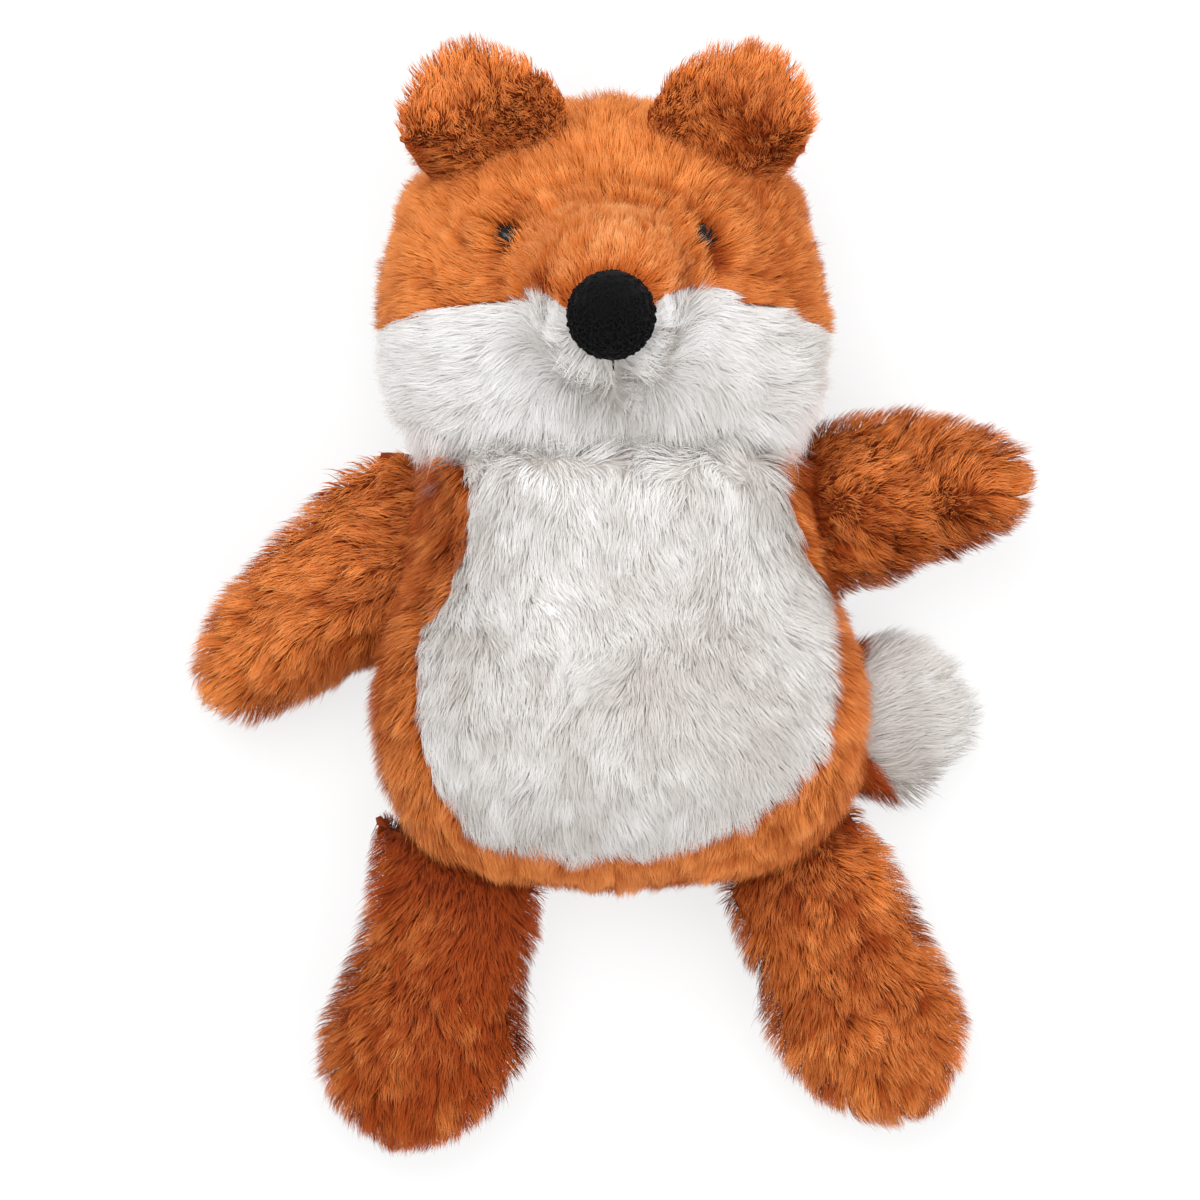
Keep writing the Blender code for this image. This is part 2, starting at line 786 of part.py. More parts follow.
def nose_ball(place, radius):
    """A knitted ball whose lower edge, towards the chin, draws to a slight point."""
    made = bmesh.new()
    bmesh.ops.create_uvsphere(made, u_segments=NOSE_SIDES, v_segments=NOSE_RINGS, radius=radius)
    for vert in made.verts:
        down = max(0, -vert.co.y / radius)
        vert.co.y -= radius * NOSE_POINT_SHARE * down**NOSE_POINT_POWER
        vert.co += place
    return made


def build_eye(name, side, finishes, head, pieces, pivot):
    """A bead eye on its stem, and the washer that locks it inside the head."""
    wide, _, _ = head.section(EYE_ALONG_SHARE)
    share = (EYE_APART / 2) / wide
    angle = math.acos(share ** (head.power / 2))
    if side < 0:
        angle = math.pi - angle
    skin = head.point(EYE_ALONG_SHARE, angle)
    out = head.normal(EYE_ALONG_SHARE, angle)
    foot = EYE_CLEARANCE
    turns = [math.pi / 2 * i / EYE_DOME_STEPS for i in range(EYE_DOME_STEPS)]
    dome = [(EYE_RADIUS * math.cos(t), foot + EYE_DOME * math.sin(t)) for t in turns]
    inside = HEAD_PILE + EYE_CLEARANCE
    stem_end = -inside - WASHER_THICKNESS - STEM_PAST_WASHER
    profile = [(0, stem_end), (EYE_STEM_RADIUS, stem_end), (EYE_STEM_RADIUS, foot)]
    profile += dome + [(0, foot + EYE_DOME)]
    bead = turned_to(lathe(profile, EYE_SIDES), skin, out)
    add(f"eye_{name}", bead, finishes["bead"], pivot)
    hole = EYE_STEM_RADIUS + GAP
    rim = [
        (hole, -inside - WASHER_THICKNESS),
        (WASHER_RADIUS, -inside - WASHER_THICKNESS),
        (WASHER_RADIUS, -inside),
        (hole, -inside),
    ]
    washer = turned_to(lathe(rim, EYE_SIDES), skin, out)
    add(f"eye_washer_{name}", washer, finishes["washer"], pivot)
    bore = [(0, -HEAD_PILE - CUT_OVERRUN), (hole, -HEAD_PILE - CUT_OVERRUN), (hole, CUT_OVERRUN)]
    bore.append((0, CUT_OVERRUN))
    bore = turned_to(lathe(bore, EYE_SIDES), skin, out)
    cut(pieces["crown"], add(f"eye_bore_cutter_{name}", bore, None, pivot, guide=True), "eye")
    deep = stem_end - GAP
    pocket = [(0, deep), (WASHER_RADIUS + GAP, deep), (WASHER_RADIUS + GAP, 0), (0, 0)]
    pocket = turned_to(lathe(pocket, EYE_SIDES), skin, out)
    pocket = add(f"washer_pocket_cutter_{name}", pocket, None, pivot, guide=True)
    cut(pieces["stuffing"], pocket, "washer")


def build_ears(finishes, head, crown, pivot):
    """Two cupped ears of a front and a back panel, which fold at the seam on the crown."""
    limb = Limb(
        EAR_SHARES,
        EAR_LENGTH,
        EAR_HALF_WIDTH,
        EAR_HALF_THICKNESS,
        EAR_ROOT_RADIUS,
        EAR_STAND_OFF,
        EAR_PILE_SHARE,
        EAR_CUP_SHARE,
    )
    for name, joinery in EAR_JOINERY.items():
        seam = seam_on(head, joinery, limb.stand_off)
        empty = axis_empty(f"{name}_axis", seam.place)
        form = limb_form(limb, seam, limb_tip(seam, limb, joinery), joinery.bend)
        inner = inside_of(form, pile_of(limb, LIMB_PILE), 0)
        orange = finishes["orange"]
        add(f"{name}_front_panel", panel_mesh(form, inner, front_half(form)), orange, empty)
        add(f"{name}_back_panel", panel_mesh(form, inner, back_half(form)), orange, empty)
        cut(crown, root_seat(f"{name}_seat_cutter", seam, limb, pivot), name)
        tell(name, seam)


def tell(name, seam):
    """Says where a seam's axis lies."""
    place = tuple(round(v, 5) for v in seam.place)
    axis = tuple(round(v, 4) for v in seam.axis)
    print(f"{name} seam at {place}, forward about {axis}")


def build_limbs(finishes, torso, back_panel):
    """Arms, legs and tail, each seated in the back panel."""
    kinds = {
        "arm": (ARM_SHARES, ARM_LENGTH, ARM_HALF_WIDTH, ARM_HALF_THICKNESS),
        "leg": (LEG_SHARES, LEG_LENGTH, LEG_HALF_WIDTH, LEG_HALF_THICKNESS),
        "tail": (TAIL_SHARES, TAIL_LENGTH, TAIL_HALF_WIDTH, TAIL_HALF_THICKNESS),
    }
    for name, joinery in LIMB_JOINERY.items():
        limb = Limb(*kinds[name.split("_")[0]], ROOT_RADIUS, ROOT_STAND_OFF)
        seam = seam_on(torso, joinery, limb.stand_off)
        form = limb_form(limb, seam, limb_tip(seam, limb, joinery), joinery.bend)
        empty = axis_empty(f"{name}_axis", seam.place)
        if name == "tail":
            build_tail(limb, form, empty, finishes)
        else:
            stuffed_limb(name, limb, form, empty, finishes["orange"], finishes["filling"])
        cut(back_panel, root_seat(f"{name}_seat_cutter", seam, limb, None), name)
        tell(name, seam)


def build_tail(limb, form, empty, finishes):
    """A stubby tail: an orange root and a white tip over one filling."""
    steps = pile_of(limb, LIMB_PILE)
    inner = inside_of(form, steps, 0)
    root = cells(form, lambda band, side: band < TAIL_TIP_BAND)
    tip = cells(form, lambda band, side: band >= TAIL_TIP_BAND)
    core = inside_of(form, steps, FILLING_EASE).thinned()
    add("tail_root_panel", panel_mesh(form, inner, root), finishes["orange"], empty)
    add("tail_tip_panel", panel_mesh(form, inner, tip), finishes["white"], empty)
    add("tail_stuffing", core.mesh(), finishes["filling"], empty)


def clear_scene():
    """Takes away what the scene starts with."""
    for item in list(bpy.data.objects):
        bpy.data.objects.remove(item)


def main():
    clear_scene()
    finishes = {
        "orange": material("orange_plush", ORANGE, PLUSH_ROUGHNESS),
        "pale": material("pale_orange_plush", PALE_ORANGE, PLUSH_ROUGHNESS),
        "white": material("white_plush", WHITE, PLUSH_ROUGHNESS),
        "filling": material("fibre_filling", FILLING, FILLING_ROUGHNESS),
        "yarn": material("black_knitted_yarn", BLACK_YARN, YARN_ROUGHNESS),
        "bead": material("black_bead_plastic", BLACK_PLASTIC, BEAD_ROUGHNESS),
        "washer": material("clear_washer_plastic", CLEAR_PLASTIC, WASHER_ROUGHNESS),
    }
    torso, back_panel = build_torso(finishes)
    flatten_back(back_panel)
    build_limbs(finishes, torso, back_panel)
    build_head(finishes, torso)


main()
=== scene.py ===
"""Looks of the plush fox: cloth forms under a long pile, a knitted nose and bead eyes.

Lengths are in metres in the frame of the solids. Millimetres and degrees are in names.
"""

import json
import logging
import math
from collections.abc import Callable
from dataclasses import dataclass
from enum import Enum

import bpy
import numpy as np
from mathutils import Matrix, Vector, kdtree

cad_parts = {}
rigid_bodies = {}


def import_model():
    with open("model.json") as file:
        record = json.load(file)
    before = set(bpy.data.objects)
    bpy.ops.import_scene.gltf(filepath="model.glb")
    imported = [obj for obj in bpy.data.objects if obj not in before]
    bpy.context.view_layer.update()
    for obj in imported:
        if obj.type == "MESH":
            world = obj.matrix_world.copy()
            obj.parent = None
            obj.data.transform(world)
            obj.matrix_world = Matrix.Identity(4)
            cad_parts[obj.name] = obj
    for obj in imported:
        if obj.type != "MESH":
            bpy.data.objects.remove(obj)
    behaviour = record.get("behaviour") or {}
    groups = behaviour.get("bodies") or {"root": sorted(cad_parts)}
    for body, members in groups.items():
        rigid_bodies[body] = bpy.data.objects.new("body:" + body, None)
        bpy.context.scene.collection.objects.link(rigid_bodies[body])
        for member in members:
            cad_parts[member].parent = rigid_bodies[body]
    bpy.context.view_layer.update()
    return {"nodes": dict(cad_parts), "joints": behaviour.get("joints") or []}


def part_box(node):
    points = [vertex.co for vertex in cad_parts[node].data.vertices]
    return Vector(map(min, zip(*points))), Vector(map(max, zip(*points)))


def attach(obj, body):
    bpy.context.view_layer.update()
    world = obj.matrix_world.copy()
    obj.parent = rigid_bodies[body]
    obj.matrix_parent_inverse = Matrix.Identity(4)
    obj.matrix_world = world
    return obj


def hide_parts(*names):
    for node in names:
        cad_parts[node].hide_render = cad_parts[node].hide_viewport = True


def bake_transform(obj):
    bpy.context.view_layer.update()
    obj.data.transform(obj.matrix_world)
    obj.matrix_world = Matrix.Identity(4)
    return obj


LOG = logging.getLogger("plush_fox")
MM = 0.001
MAP_NAME = "OFBake"
SEED = 20
# What the photograph's pixels mean in the frame: their scale, and the pixel over the origin
PIXEL = 0.25 * MM
ORIGIN_PX = (615.0, 680.0)
FLOOR_CLEARANCE = 0.4 * MM
UP = np.array((0.0, 0.0, 1.0))
DOWN_THE_BODY = np.array((0.0, -1.0, 0.0))

Array = np.ndarray
Random = np.random.Generator
Pair = tuple[float, float]
Triple = tuple[float, float, float]
Colour = tuple[float, float, float, float]
Pixels = tuple[Pair, ...]
Reading = Callable[[Array], Array]  # from places to one value or one row for each
Test = Callable[[Array, Array], Array]  # from places and ways out to truth values


class Flow(Enum):
    """Which way a pile is combed."""

    ALONG = "along one direction"
    AWAY = "away from a point"


def in_plan(spots: Pixels) -> Array:
    """Turns pixels of the photograph to rows of X and Y in the frame."""
    spots = np.asarray(spots, float)
    across = (spots[:, 0] - ORIGIN_PX[0]) * PIXEL
    up = (ORIGIN_PX[1] - spots[:, 1]) * PIXEL
    return np.column_stack((across, up))


def unit(vectors: Array) -> Array:
    """Scales rows to a length of one."""
    return vectors / np.maximum(np.linalg.norm(vectors, axis=-1, keepdims=True), 1e-12)


def dots(a: Array, b: Array) -> Array:
    """Gives the dot product of each pair of rows, as a column."""
    return np.sum(a * b, axis=-1, keepdims=True)


def eased(share: Array) -> Array:
    """Clips shares to 0 and 1 and eases both ends."""
    share = np.clip(share, 0, 1)
    return share * share * (3 - 2 * share)


def near(distance: Array, reach: float) -> Array:
    """Gives 1 at no distance, eased to 0 at the reach."""
    return eased(1 - distance / reach)


def fading(points: Array, spot_px: Pair, radius: float) -> Array:
    """Gives 1 at a pixel's place and less the further off in plan, a third at the radius."""
    away = np.linalg.norm(points[:, :2] - in_plan((spot_px,))[0], axis=1) / radius
    return np.exp(-(away**2))


def turned(vectors: Array, axes: Array, angles: Array) -> Array:
    """Turns each row about its own axis, to which it is square.

    Args:
        vectors: rows to turn.
        axes: unit rows to turn about.
        angles: one angle for each row, in radians.

    Returns:
        The turned rows.
    """
    across = np.cross(axes, vectors)
    return vectors * np.cos(angles)[:, None] + across * np.sin(angles)[:, None]


def inside(points: Array, outline: Array) -> Array:
    """Tells which points lie in a closed outline, both in plan.

    Args:
        points: rows that start with X and Y.
        outline: corners of the outline, rows of X and Y.

    Returns:
        One truth value for each point.
    """
    x, y = points[:, 0], points[:, 1]
    found = np.zeros(len(points), bool)
    for (x0, y0), (x1, y1) in zip(outline, np.roll(outline, -1, axis=0)):
        if y0 == y1:
            continue
        crosses = (y0 > y) != (y1 > y)
        found ^= crosses & (x < x0 + (y - y0) * (x1 - x0) / (y1 - y0))
    return found


@dataclass(frozen=True)
class Unevenness:
    """Smooth random values in space, from a lattice that repeats every few cells."""

    scale: float
    seed: int
    cells: int = 24

    def at(self, points: Array) -> Array:
        """Reads a value from -1 to 1 at each point."""
        lattice = np.random.default_rng(self.seed).uniform(-1, 1, (self.cells,) * 3)
        where = points / self.scale
        low = np.floor(where).astype(int)
        share = eased(where - low)
        total = np.zeros(len(points))
        for corner in np.ndindex(2, 2, 2):
            i, j, k = ((low + corner) % self.cells).T
            weight = np.prod(np.where(corner, share, 1 - share), axis=1)
            total += weight * lattice[i, j, k]
        return total


def tube(
    middle: Array, first: Array, second: Array, radius: float, sides: int
) -> tuple[Array, Array]:
    """Lays a ring round each place of one or more paths, and walls between the rings.

    Args:
        middle: the places, path by path.
        first: a unit direction across the path at each place.
        second: the direction across that is square to the first.
        radius: the rings' radius.
        sides: how many points a ring has.

    Returns:
        The points and the quads, which face out.
    """
    count, steps = middle.shape[:2]
    turns = 2 * math.pi * np.arange(sides) / sides
    ring = (
        first[:, :, None, :] * np.cos(turns)[None, None, :, None]
        + second[:, :, None, :] * np.sin(turns)[None, None, :, None]
    )
    points = middle[:, :, None, :] + ring * radius
    i, j = np.meshgrid(np.arange(steps - 1) * sides, np.arange(sides), indexing="ij")
    k = (j + 1) % sides
    one = np.stack((i + j, i + k, i + sides + k, i + sides + j), axis=-1)
    quads = np.arange(count)[:, None, None] * steps * sides + one.reshape(-1, 4)[None]
    return points.reshape(-1, 3), quads.reshape(-1, 4)


def linear(code: str) -> Colour:
    """Turns an sRGB hex colour to linear light by the standard's curve, with full alpha."""
    channels = (int(code[i : i + 2], 16) / 255 for i in (1, 3, 5))
    return (*(c / 12.92 if c <= 0.04045 else ((c + 0.055) / 1.055) ** 2.4 for c in channels), 1.0)


def node(
    tree: bpy.types.NodeTree,
    kind: str,
    settings: dict | None = None,
    inputs: dict | None = None,
) -> bpy.types.Node:
    """Adds a node with its settings and what goes into its sockets.

    Args:
        tree: the tree that gets the node.
        kind: the node's type.
        settings: properties of the node by name.
        inputs: values or output sockets, by the name or number of the input.

    Returns:
        The new node.
    """
    made = tree.nodes.new(kind)
    for name, value in (settings or {}).items():
        setattr(made, name, value)
    for name, value in (inputs or {}).items():
        if isinstance(value, bpy.types.NodeSocket):
            tree.links.new(value, made.inputs[name])
        else:
            made.inputs[name].default_value = value
    return made


def blank(
    name: str, inputs: dict[str, float | tuple]
) -> tuple[bpy.types.Material, bpy.types.NodeTree, bpy.types.Node]:
    """Makes a material with only its output and a Principled shader.

    Args:
        name: the material's name.
        inputs: the shader's constants by socket.

    Returns:
        The material, its tree and the shader.
    """
    made = bpy.data.materials.new(name)
    made.use_nodes = True
    shader = made.node_tree.nodes["Principled BSDF"]
    for socket, value in inputs.items():
        shader.inputs[socket].default_value = value
    return made, made.node_tree, shader


@dataclass(frozen=True)
class PlushFinish:
    """Acrylic plush, knitted and brushed: each fibre is deep at its root and pale at its tip.

    The root's depth is partly the plush's own colour and partly painted shade between tufts, and
    the pale tip is partly painted light. The spread of tones gives the eye the pile's softness, and
    the light that passes through a fibre the glow of a pile lit from above.
    """

    name: str
    root: str
    body_dark: str
    body_light: str
    tip_dark: str
    tip_light: str
    sheen: float = 0.06
    through: float = 0.15

    ROOT_TO_BODY = (0.0, 0.5)  # the heights on a fibre between which its colour changes
    BODY_TO_TIP = (0.45, 1.0)

    def material(self) -> bpy.types.Material:
        """Makes the material. Colour is read from the fibre's own map alone."""
        constants = {
            "Roughness": 0.7,
            "Specular IOR Level": 0.2,
            "Sheen Weight": self.sheen,
            "Sheen Roughness": 0.5,
            "Sheen Tint": linear(self.tip_light),
        }
        made, tree, shader = blank(self.name, constants)
        where = node(tree, "ShaderNodeUVMap", {"uv_map": MAP_NAME})
        split = node(tree, "ShaderNodeSeparateXYZ", None, {0: where.outputs[0]})
        tone, height = split.outputs[0], split.outputs[1]
        blends, soft = {"data_type": "RGBA"}, {"interpolation_type": "SMOOTHSTEP"}
        colour = linear(self.root)
        for (start, end), dark, light in (
            (self.ROOT_TO_BODY, self.body_dark, self.body_light),
            (self.BODY_TO_TIP, self.tip_dark, self.tip_light),
        ):
            toned = {0: tone, 6: linear(dark), 7: linear(light)}
            toned = node(tree, "ShaderNodeMix", blends, toned)
            rise = {"Value": height, "From Min": start, "From Max": end}
            share = node(tree, "ShaderNodeMapRange", soft, rise)
            ends = {0: share.outputs[0], 6: colour, 7: toned.outputs[2]}
            colour = node(tree, "ShaderNodeMix", blends, ends).outputs[2]
        tree.links.new(colour, shader.inputs["Base Color"])
        behind = node(tree, "ShaderNodeBsdfTranslucent", None, {0: colour})
        both = {0: self.through, 1: shader.outputs[0], 2: behind.outputs[0]}
        mixed = node(tree, "ShaderNodeMixShader", None, both)
        tree.links.new(mixed.outputs[0], tree.nodes["Material Output"].inputs[0])
        return made


@dataclass(frozen=True)
class YarnFinish:
    """Black acrylic yarn, matt and a little fuzzy: its loops catch only a faint grey edge."""

    name: str = "black_knitted_yarn"
    colour: str = "#060607"
    twist_mm: float = 0.5

    def material(self) -> bpy.types.Material:
        """Makes the material, with the yarn's ply as bump."""
        constants = {
            "Base Color": linear(self.colour),
            "Roughness": 0.9,
            "Specular IOR Level": 0.1,
            "Sheen Weight": 0.02,
            "Sheen Roughness": 0.6,
        }
        made, tree, shader = blank(self.name, constants)
        place = node(tree, "ShaderNodeTexCoord").outputs["Object"]
        ply = {"Vector": place, "Scale": 1 / (self.twist_mm * MM), "Detail": 3.0}
        ply = node(tree, "ShaderNodeTexNoise", None, ply)
        height = {"Height": ply.outputs[0], "Strength": 0.6, "Distance": 0.15 * MM}
        bump = node(tree, "ShaderNodeBump", None, height)
        tree.links.new(bump.outputs[0], shader.inputs["Normal"])
        return made


@dataclass(frozen=True)
class SmoothFinish:
    """A moulded plastic whose gloss varies over small marks."""

    name: str
    colour: str
    specular: float
    marks_mm: float
    detail: float
    reads: Pair
    gives: Pair

    def material(self) -> bpy.types.Material:
        """Makes the material. The marks' noise, from low to high, sets its roughness."""
        constants = {"Base Color": linear(self.colour), "Specular IOR Level": self.specular}
        made, tree, shader = blank(self.name, constants)
        place = node(tree, "ShaderNodeTexCoord").outputs["Object"]
        marks = {"Vector": place, "Scale": 1 / (self.marks_mm * MM), "Detail": self.detail}
        marks = node(tree, "ShaderNodeTexNoise", None, marks)
        names = ("From Min", "From Max", "To Min", "To Max")
        spread = dict(zip(names, self.reads + self.gives))
        gloss = node(tree, "ShaderNodeMapRange", None, {"Value": marks.outputs[0], **spread})
        tree.links.new(gloss.outputs[0], shader.inputs["Roughness"])
        return made


@dataclass(frozen=True)
class BeadFinish(SmoothFinish):
    """Black acrylic, tumbled to a gloss: one small sharp light on near black, a little worn."""

    name: str = "black_bead_plastic"
    colour: str = "#08080A"
    specular: float = 0.25
    marks_mm: float = 0.8
    detail: float = 4.0
    reads: Pair = (0.35, 0.75)
    gives: Pair = (0.06, 0.2)


@dataclass(frozen=True)
class WasherFinish(SmoothFinish):
    """Clear polyethylene of the locking washers, milky and smooth, hidden inside the head."""

    name: str = "clear_washer_plastic"
    colour: str = "#D8DADC"
    specular: float = 0.5
    marks_mm: float = 2.0
    detail: float = 2.0
    reads: Pair = (0.0, 1.0)
    gives: Pair = (0.3, 0.45)


class Palette:
    """The materials, each made once."""

    def __init__(self) -> None:
        """Makes the materials."""
        self.orange = PlushFinish(
            "orange_plush", "#7E2E08", "#9A3A08", "#F58834", "#BC5214", "#FFAE66"
        ).material()
        self.pale = PlushFinish(
            "pale_orange_plush", "#BE5018", "#D06820", "#FFA050", "#E88238", "#FFC488"
        ).material()
        self.white = PlushFinish(
            "white_plush", "#EAE5E0", "#DCD6D0", "#FFFEFD", "#E0DBD6", "#FFFFFF", through=0.35
        ).material()
        self.yarn = YarnFinish().material()
        self.bead = BeadFinish().material()
        self.washer = WasherFinish().material()


@dataclass
class Surface:
    """The arrays that a mesh is made from: points, face corners one after another, face sizes."""

    points: Array
    corners: Array
    counts: Array
    uv: Array | None = None
    normals: Array | None = None

    def object(self, name: str, *finishes: bpy.types.Material) -> bpy.types.Object:
        """Makes the object.

        Args:
            name: the object's name.
            finishes: its materials.

        Returns:
            The new object, linked to the scene.
        """
        data = bpy.data.meshes.new(name)
        data.vertices.add(len(self.points))
        data.vertices.foreach_set("co", self.points.astype(np.float32).ravel())
        data.loops.add(len(self.corners))
        data.loops.foreach_set("vertex_index", self.corners.astype(np.int32))
        data.polygons.add(len(self.counts))
        starts = np.concatenate(([0], np.cumsum(self.counts)[:-1])).astype(np.int32)
        data.polygons.foreach_set("loop_start", starts)
        if self.uv is not None:
            layer = data.uv_layers.new(name=MAP_NAME)
            layer.data.foreach_set("uv", self.uv.astype(np.float32).ravel())
        data.update(calc_edges=True)
        data.validate()
        data.shade_smooth()
        if self.normals is not None:
            data.normals_split_custom_set_from_vertices(self.normals.tolist())
        for finish in finishes:
            data.materials.append(finish)
        return linked(name, data)


def linked(name: str, data: bpy.types.ID) -> bpy.types.Object:
    """Makes an object of some data and links it to the scene."""
    made = bpy.data.objects.new(name, data)
    bpy.context.scene.collection.objects.link(made)
    return made


def read(
    items: bpy.types.bpy_prop_collection, name: str, each: int, kind: type, row: int
) -> Array:
    """Reads a property of all points, loops or triangles of a mesh.

    Args:
        items: the points, loops or triangles.
        name: the property.
        each: how many values one item has.
        kind: the values' type.
        row: how many values make a row.

    Returns:
        The values in rows.
    """
    found = np.empty(len(items) * each, kind)
    items.foreach_get(name, found)
    return found.reshape(-1, row)


@dataclass(frozen=True)
class Swell:
    """How the cloth moves where filling bulges or gives way, round a pixel of the photograph."""

    spot_px: Pair
    radius_mm: float
    by_mm: Triple


@dataclass(frozen=True)
class Shade:
    """How much the pile's tone drops as painted shade, round a pixel of the photograph; a drop
    below nought is painted light.
    """

    spot_px: Pair
    radius_mm: float
    by: float


def swells_from(*rows: tuple[float, ...]) -> tuple[Swell, ...]:
    """Makes swells of rows with a pixel's two numbers, a radius and the movement's three."""
    return tuple(Swell(row[:2], row[2], row[3:]) for row in rows)


def shades_from(*rows: tuple[float, ...]) -> tuple[Shade, ...]:
    """Makes shades of rows with a pixel's two numbers, a radius and a drop in tone."""
    return tuple(Shade(row[:2], row[2], row[3]) for row in rows)


def shaded(place: Array, shades: tuple[Shade, ...]) -> Array:
    """Adds up how much darker each place is painted for the shades, as painted shade."""
    darker = (one.by * fading(place, one.spot_px, one.radius_mm * MM) for one in shades)
    return sum(darker, np.zeros(len(place)))


class Form:
    """The cloth of a stuffed form, under its pile: one closed surface from the solids."""

    # Painted shade: bare cloth takes the dark tone of a fibre's root, as the pile's ground lies in
    # shade
    SHADED_GROUND = (0.3, 0.1)  # the tone and the height of a fibre that bare cloth looks like

    def __init__(self, nodes: list[bpy.types.Object], voxel: float, smoothing: int) -> None:
        """Wraps the solids of some nodes in one surface.

        Args:
            nodes: the solids.
            voxel: the size of the wrapping's cells.
            smoothing: how many times the surface is evened out.
        """
        self.points, self.quads = self.wrapped(nodes, voxel)
        self.edges = self.edges_of(self.quads)
        self.even(smoothing)

    @staticmethod
    def wrapped(nodes: list[bpy.types.Object], voxel: float) -> tuple[Array, Array]:
        """Joins the solids by a voxel remesh and keeps the outermost shell."""
        points, faces, start = [], [], 0
        for item in nodes:
            item.data.calc_loop_triangles()
            points.append(read(item.data.vertices, "co", 3, float, 3))
            faces.append(read(item.data.loop_triangles, "vertices", 3, int, 3) + start)
            start += len(item.data.vertices)
        joined = bpy.data.meshes.new("joined")
        joined.from_pydata(np.vstack(points).tolist(), [], np.vstack(faces).tolist())
        holder = linked("joined", joined)
        remesh = holder.modifiers.new("wrap", "REMESH")
        remesh.mode = "VOXEL"
        remesh.voxel_size = voxel
        graph = bpy.context.evaluated_depsgraph_get()
        shell = bpy.data.meshes.new_from_object(holder.evaluated_get(graph))
        places = read(shell.vertices, "co", 3, float, 3)
        quads = read(shell.loops, "vertex_index", 1, int, 4)
        bpy.data.objects.remove(holder)
        bpy.data.meshes.remove(joined)
        bpy.data.meshes.remove(shell)
        return Form.outermost(places, quads)

    @staticmethod
    def outermost(points: Array, quads: Array) -> tuple[Array, Array]:
        """Keeps the connected shell with the most points."""
        label = np.arange(len(points))
        while True:
            least = label[quads].min(axis=1)
            fresh = label.copy()
            np.minimum.at(fresh, quads.ravel(), np.repeat(least, 4))
            fresh = fresh[fresh]
            if np.array_equal(fresh, label):
                break
            label = fresh
        names, sizes = np.unique(label, return_counts=True)
        kept = label == names[np.argmax(sizes)]
        renumber = np.cumsum(kept) - 1
        return points[kept], renumber[quads[kept[quads[:, 0]]]]

    @staticmethod
    def edges_of(quads: Array) -> Array:
        """Lists each edge once."""
        pairs = np.vstack([np.column_stack((quads[:, i], quads[:, (i + 1) % 4])) for i in range(4)])
        return np.unique(np.sort(pairs, axis=1), axis=0)

    def even(self, times: int, strength: float | Array = 0.5) -> None:
        """Moves each point towards the middle of its neighbours."""
        a, b = self.edges.T
        count = np.bincount(self.edges.ravel(), minlength=len(self.points))[:, None]
        for _ in range(times):
            total = np.zeros_like(self.points)
            np.add.at(total, a, self.points[b])
            np.add.at(total, b, self.points[a])
            self.points += strength * (total / count - self.points)

    @property
    def triangles(self) -> Array:
        """The quads, each cut in two."""
        return np.vstack((self.quads[:, [0, 1, 2]], self.quads[:, [0, 2, 3]]))

    @property
    def normals(self) -> Array:
        """Each point's way out."""
        corners = self.points[self.triangles]
        facing = np.cross(corners[:, 1] - corners[:, 0], corners[:, 2] - corners[:, 0])
        total = np.zeros_like(self.points)
        for i in range(3):
            np.add.at(total, self.triangles[:, i], facing)
        return unit(total)

    def shrink(self, depths: Array | float, steps: int = 4, evening: float = 0.4) -> None:
        """Draws the surface in by the pile's height, a step at a time."""
        depths = np.broadcast_to(np.asarray(depths, float), len(self.points))
        for _ in range(steps):
            self.points -= self.normals * (depths / steps)[:, None]
            self.even(1, evening)
        self.points[:, 2] = np.maximum(self.points[:, 2], FLOOR_CLEARANCE)

    def swell(self, swells: tuple[Swell, ...]) -> None:
        """Moves the cloth round each swell's spot."""
        for one in swells:
            share = fading(self.points, one.spot_px, one.radius_mm * MM)
            self.points += share[:, None] * np.array(one.by_mm) * MM

    def top_at(self, spot: Array, reach: float) -> float:
        """Gives the cloth's highest place near a spot in plan."""
        beside = np.linalg.norm(self.points[:, :2] - spot[:2], axis=1) < reach
        return float(self.points[beside, 2].max())

    def object(
        self,
        name: str,
        finish: bpy.types.Material,
        patch: bpy.types.Material | None = None,
        on_patch: Test | None = None,
    ) -> bpy.types.Object:
        """Makes the cloth's object, in the dark tone of a fibre's root: painted shade of the pile's
        ground.

        Args:
            name: the object's name.
            finish: the cloth.
            patch: a second cloth, sewn in.
            on_patch: tells which places, with their ways out, are in the second cloth.

        Returns:
            The object.
        """
        corners = self.quads.ravel()
        uv = np.tile(self.SHADED_GROUND, (len(corners), 1))
        surface = Surface(self.points, corners, np.full(len(self.quads), 4), uv)
        if patch is None:
            return surface.object(name, finish)
        made = surface.object(name, finish, patch)
        middles = self.points[self.quads].mean(axis=1)
        ways = unit(self.normals[self.quads].mean(axis=1))
        slots = on_patch(middles, ways).astype(np.int32)
        made.data.polygons.foreach_set("material_index", slots)
        return made


@dataclass(frozen=True)
class Hair:
    """How one stretch of plush grows: lengths and angles of its fibres."""

    length: float = 7.4 * MM
    lift_deg: float = 50.0
    width: float = 0.15 * MM
    per_mm2: float = 5.4
    tuft: float = 3.2 * MM
    pull: float = 0.48
    wave: float = 12.0 * MM
    wave_deg: float = 42.0
    loose_deg: float = 13.0
    stray_share: float = 0.08
    # Each part's tone is set to how bright the part looks: besides the plush's own colour it holds
    # painted light and painted shade
    tone: float = 0.6
    tone_spread: float = 0.22
    streaks: float = 0.17  # how much whole tufts differ in tone
    mixed: float = 0.1  # how much single fibres do


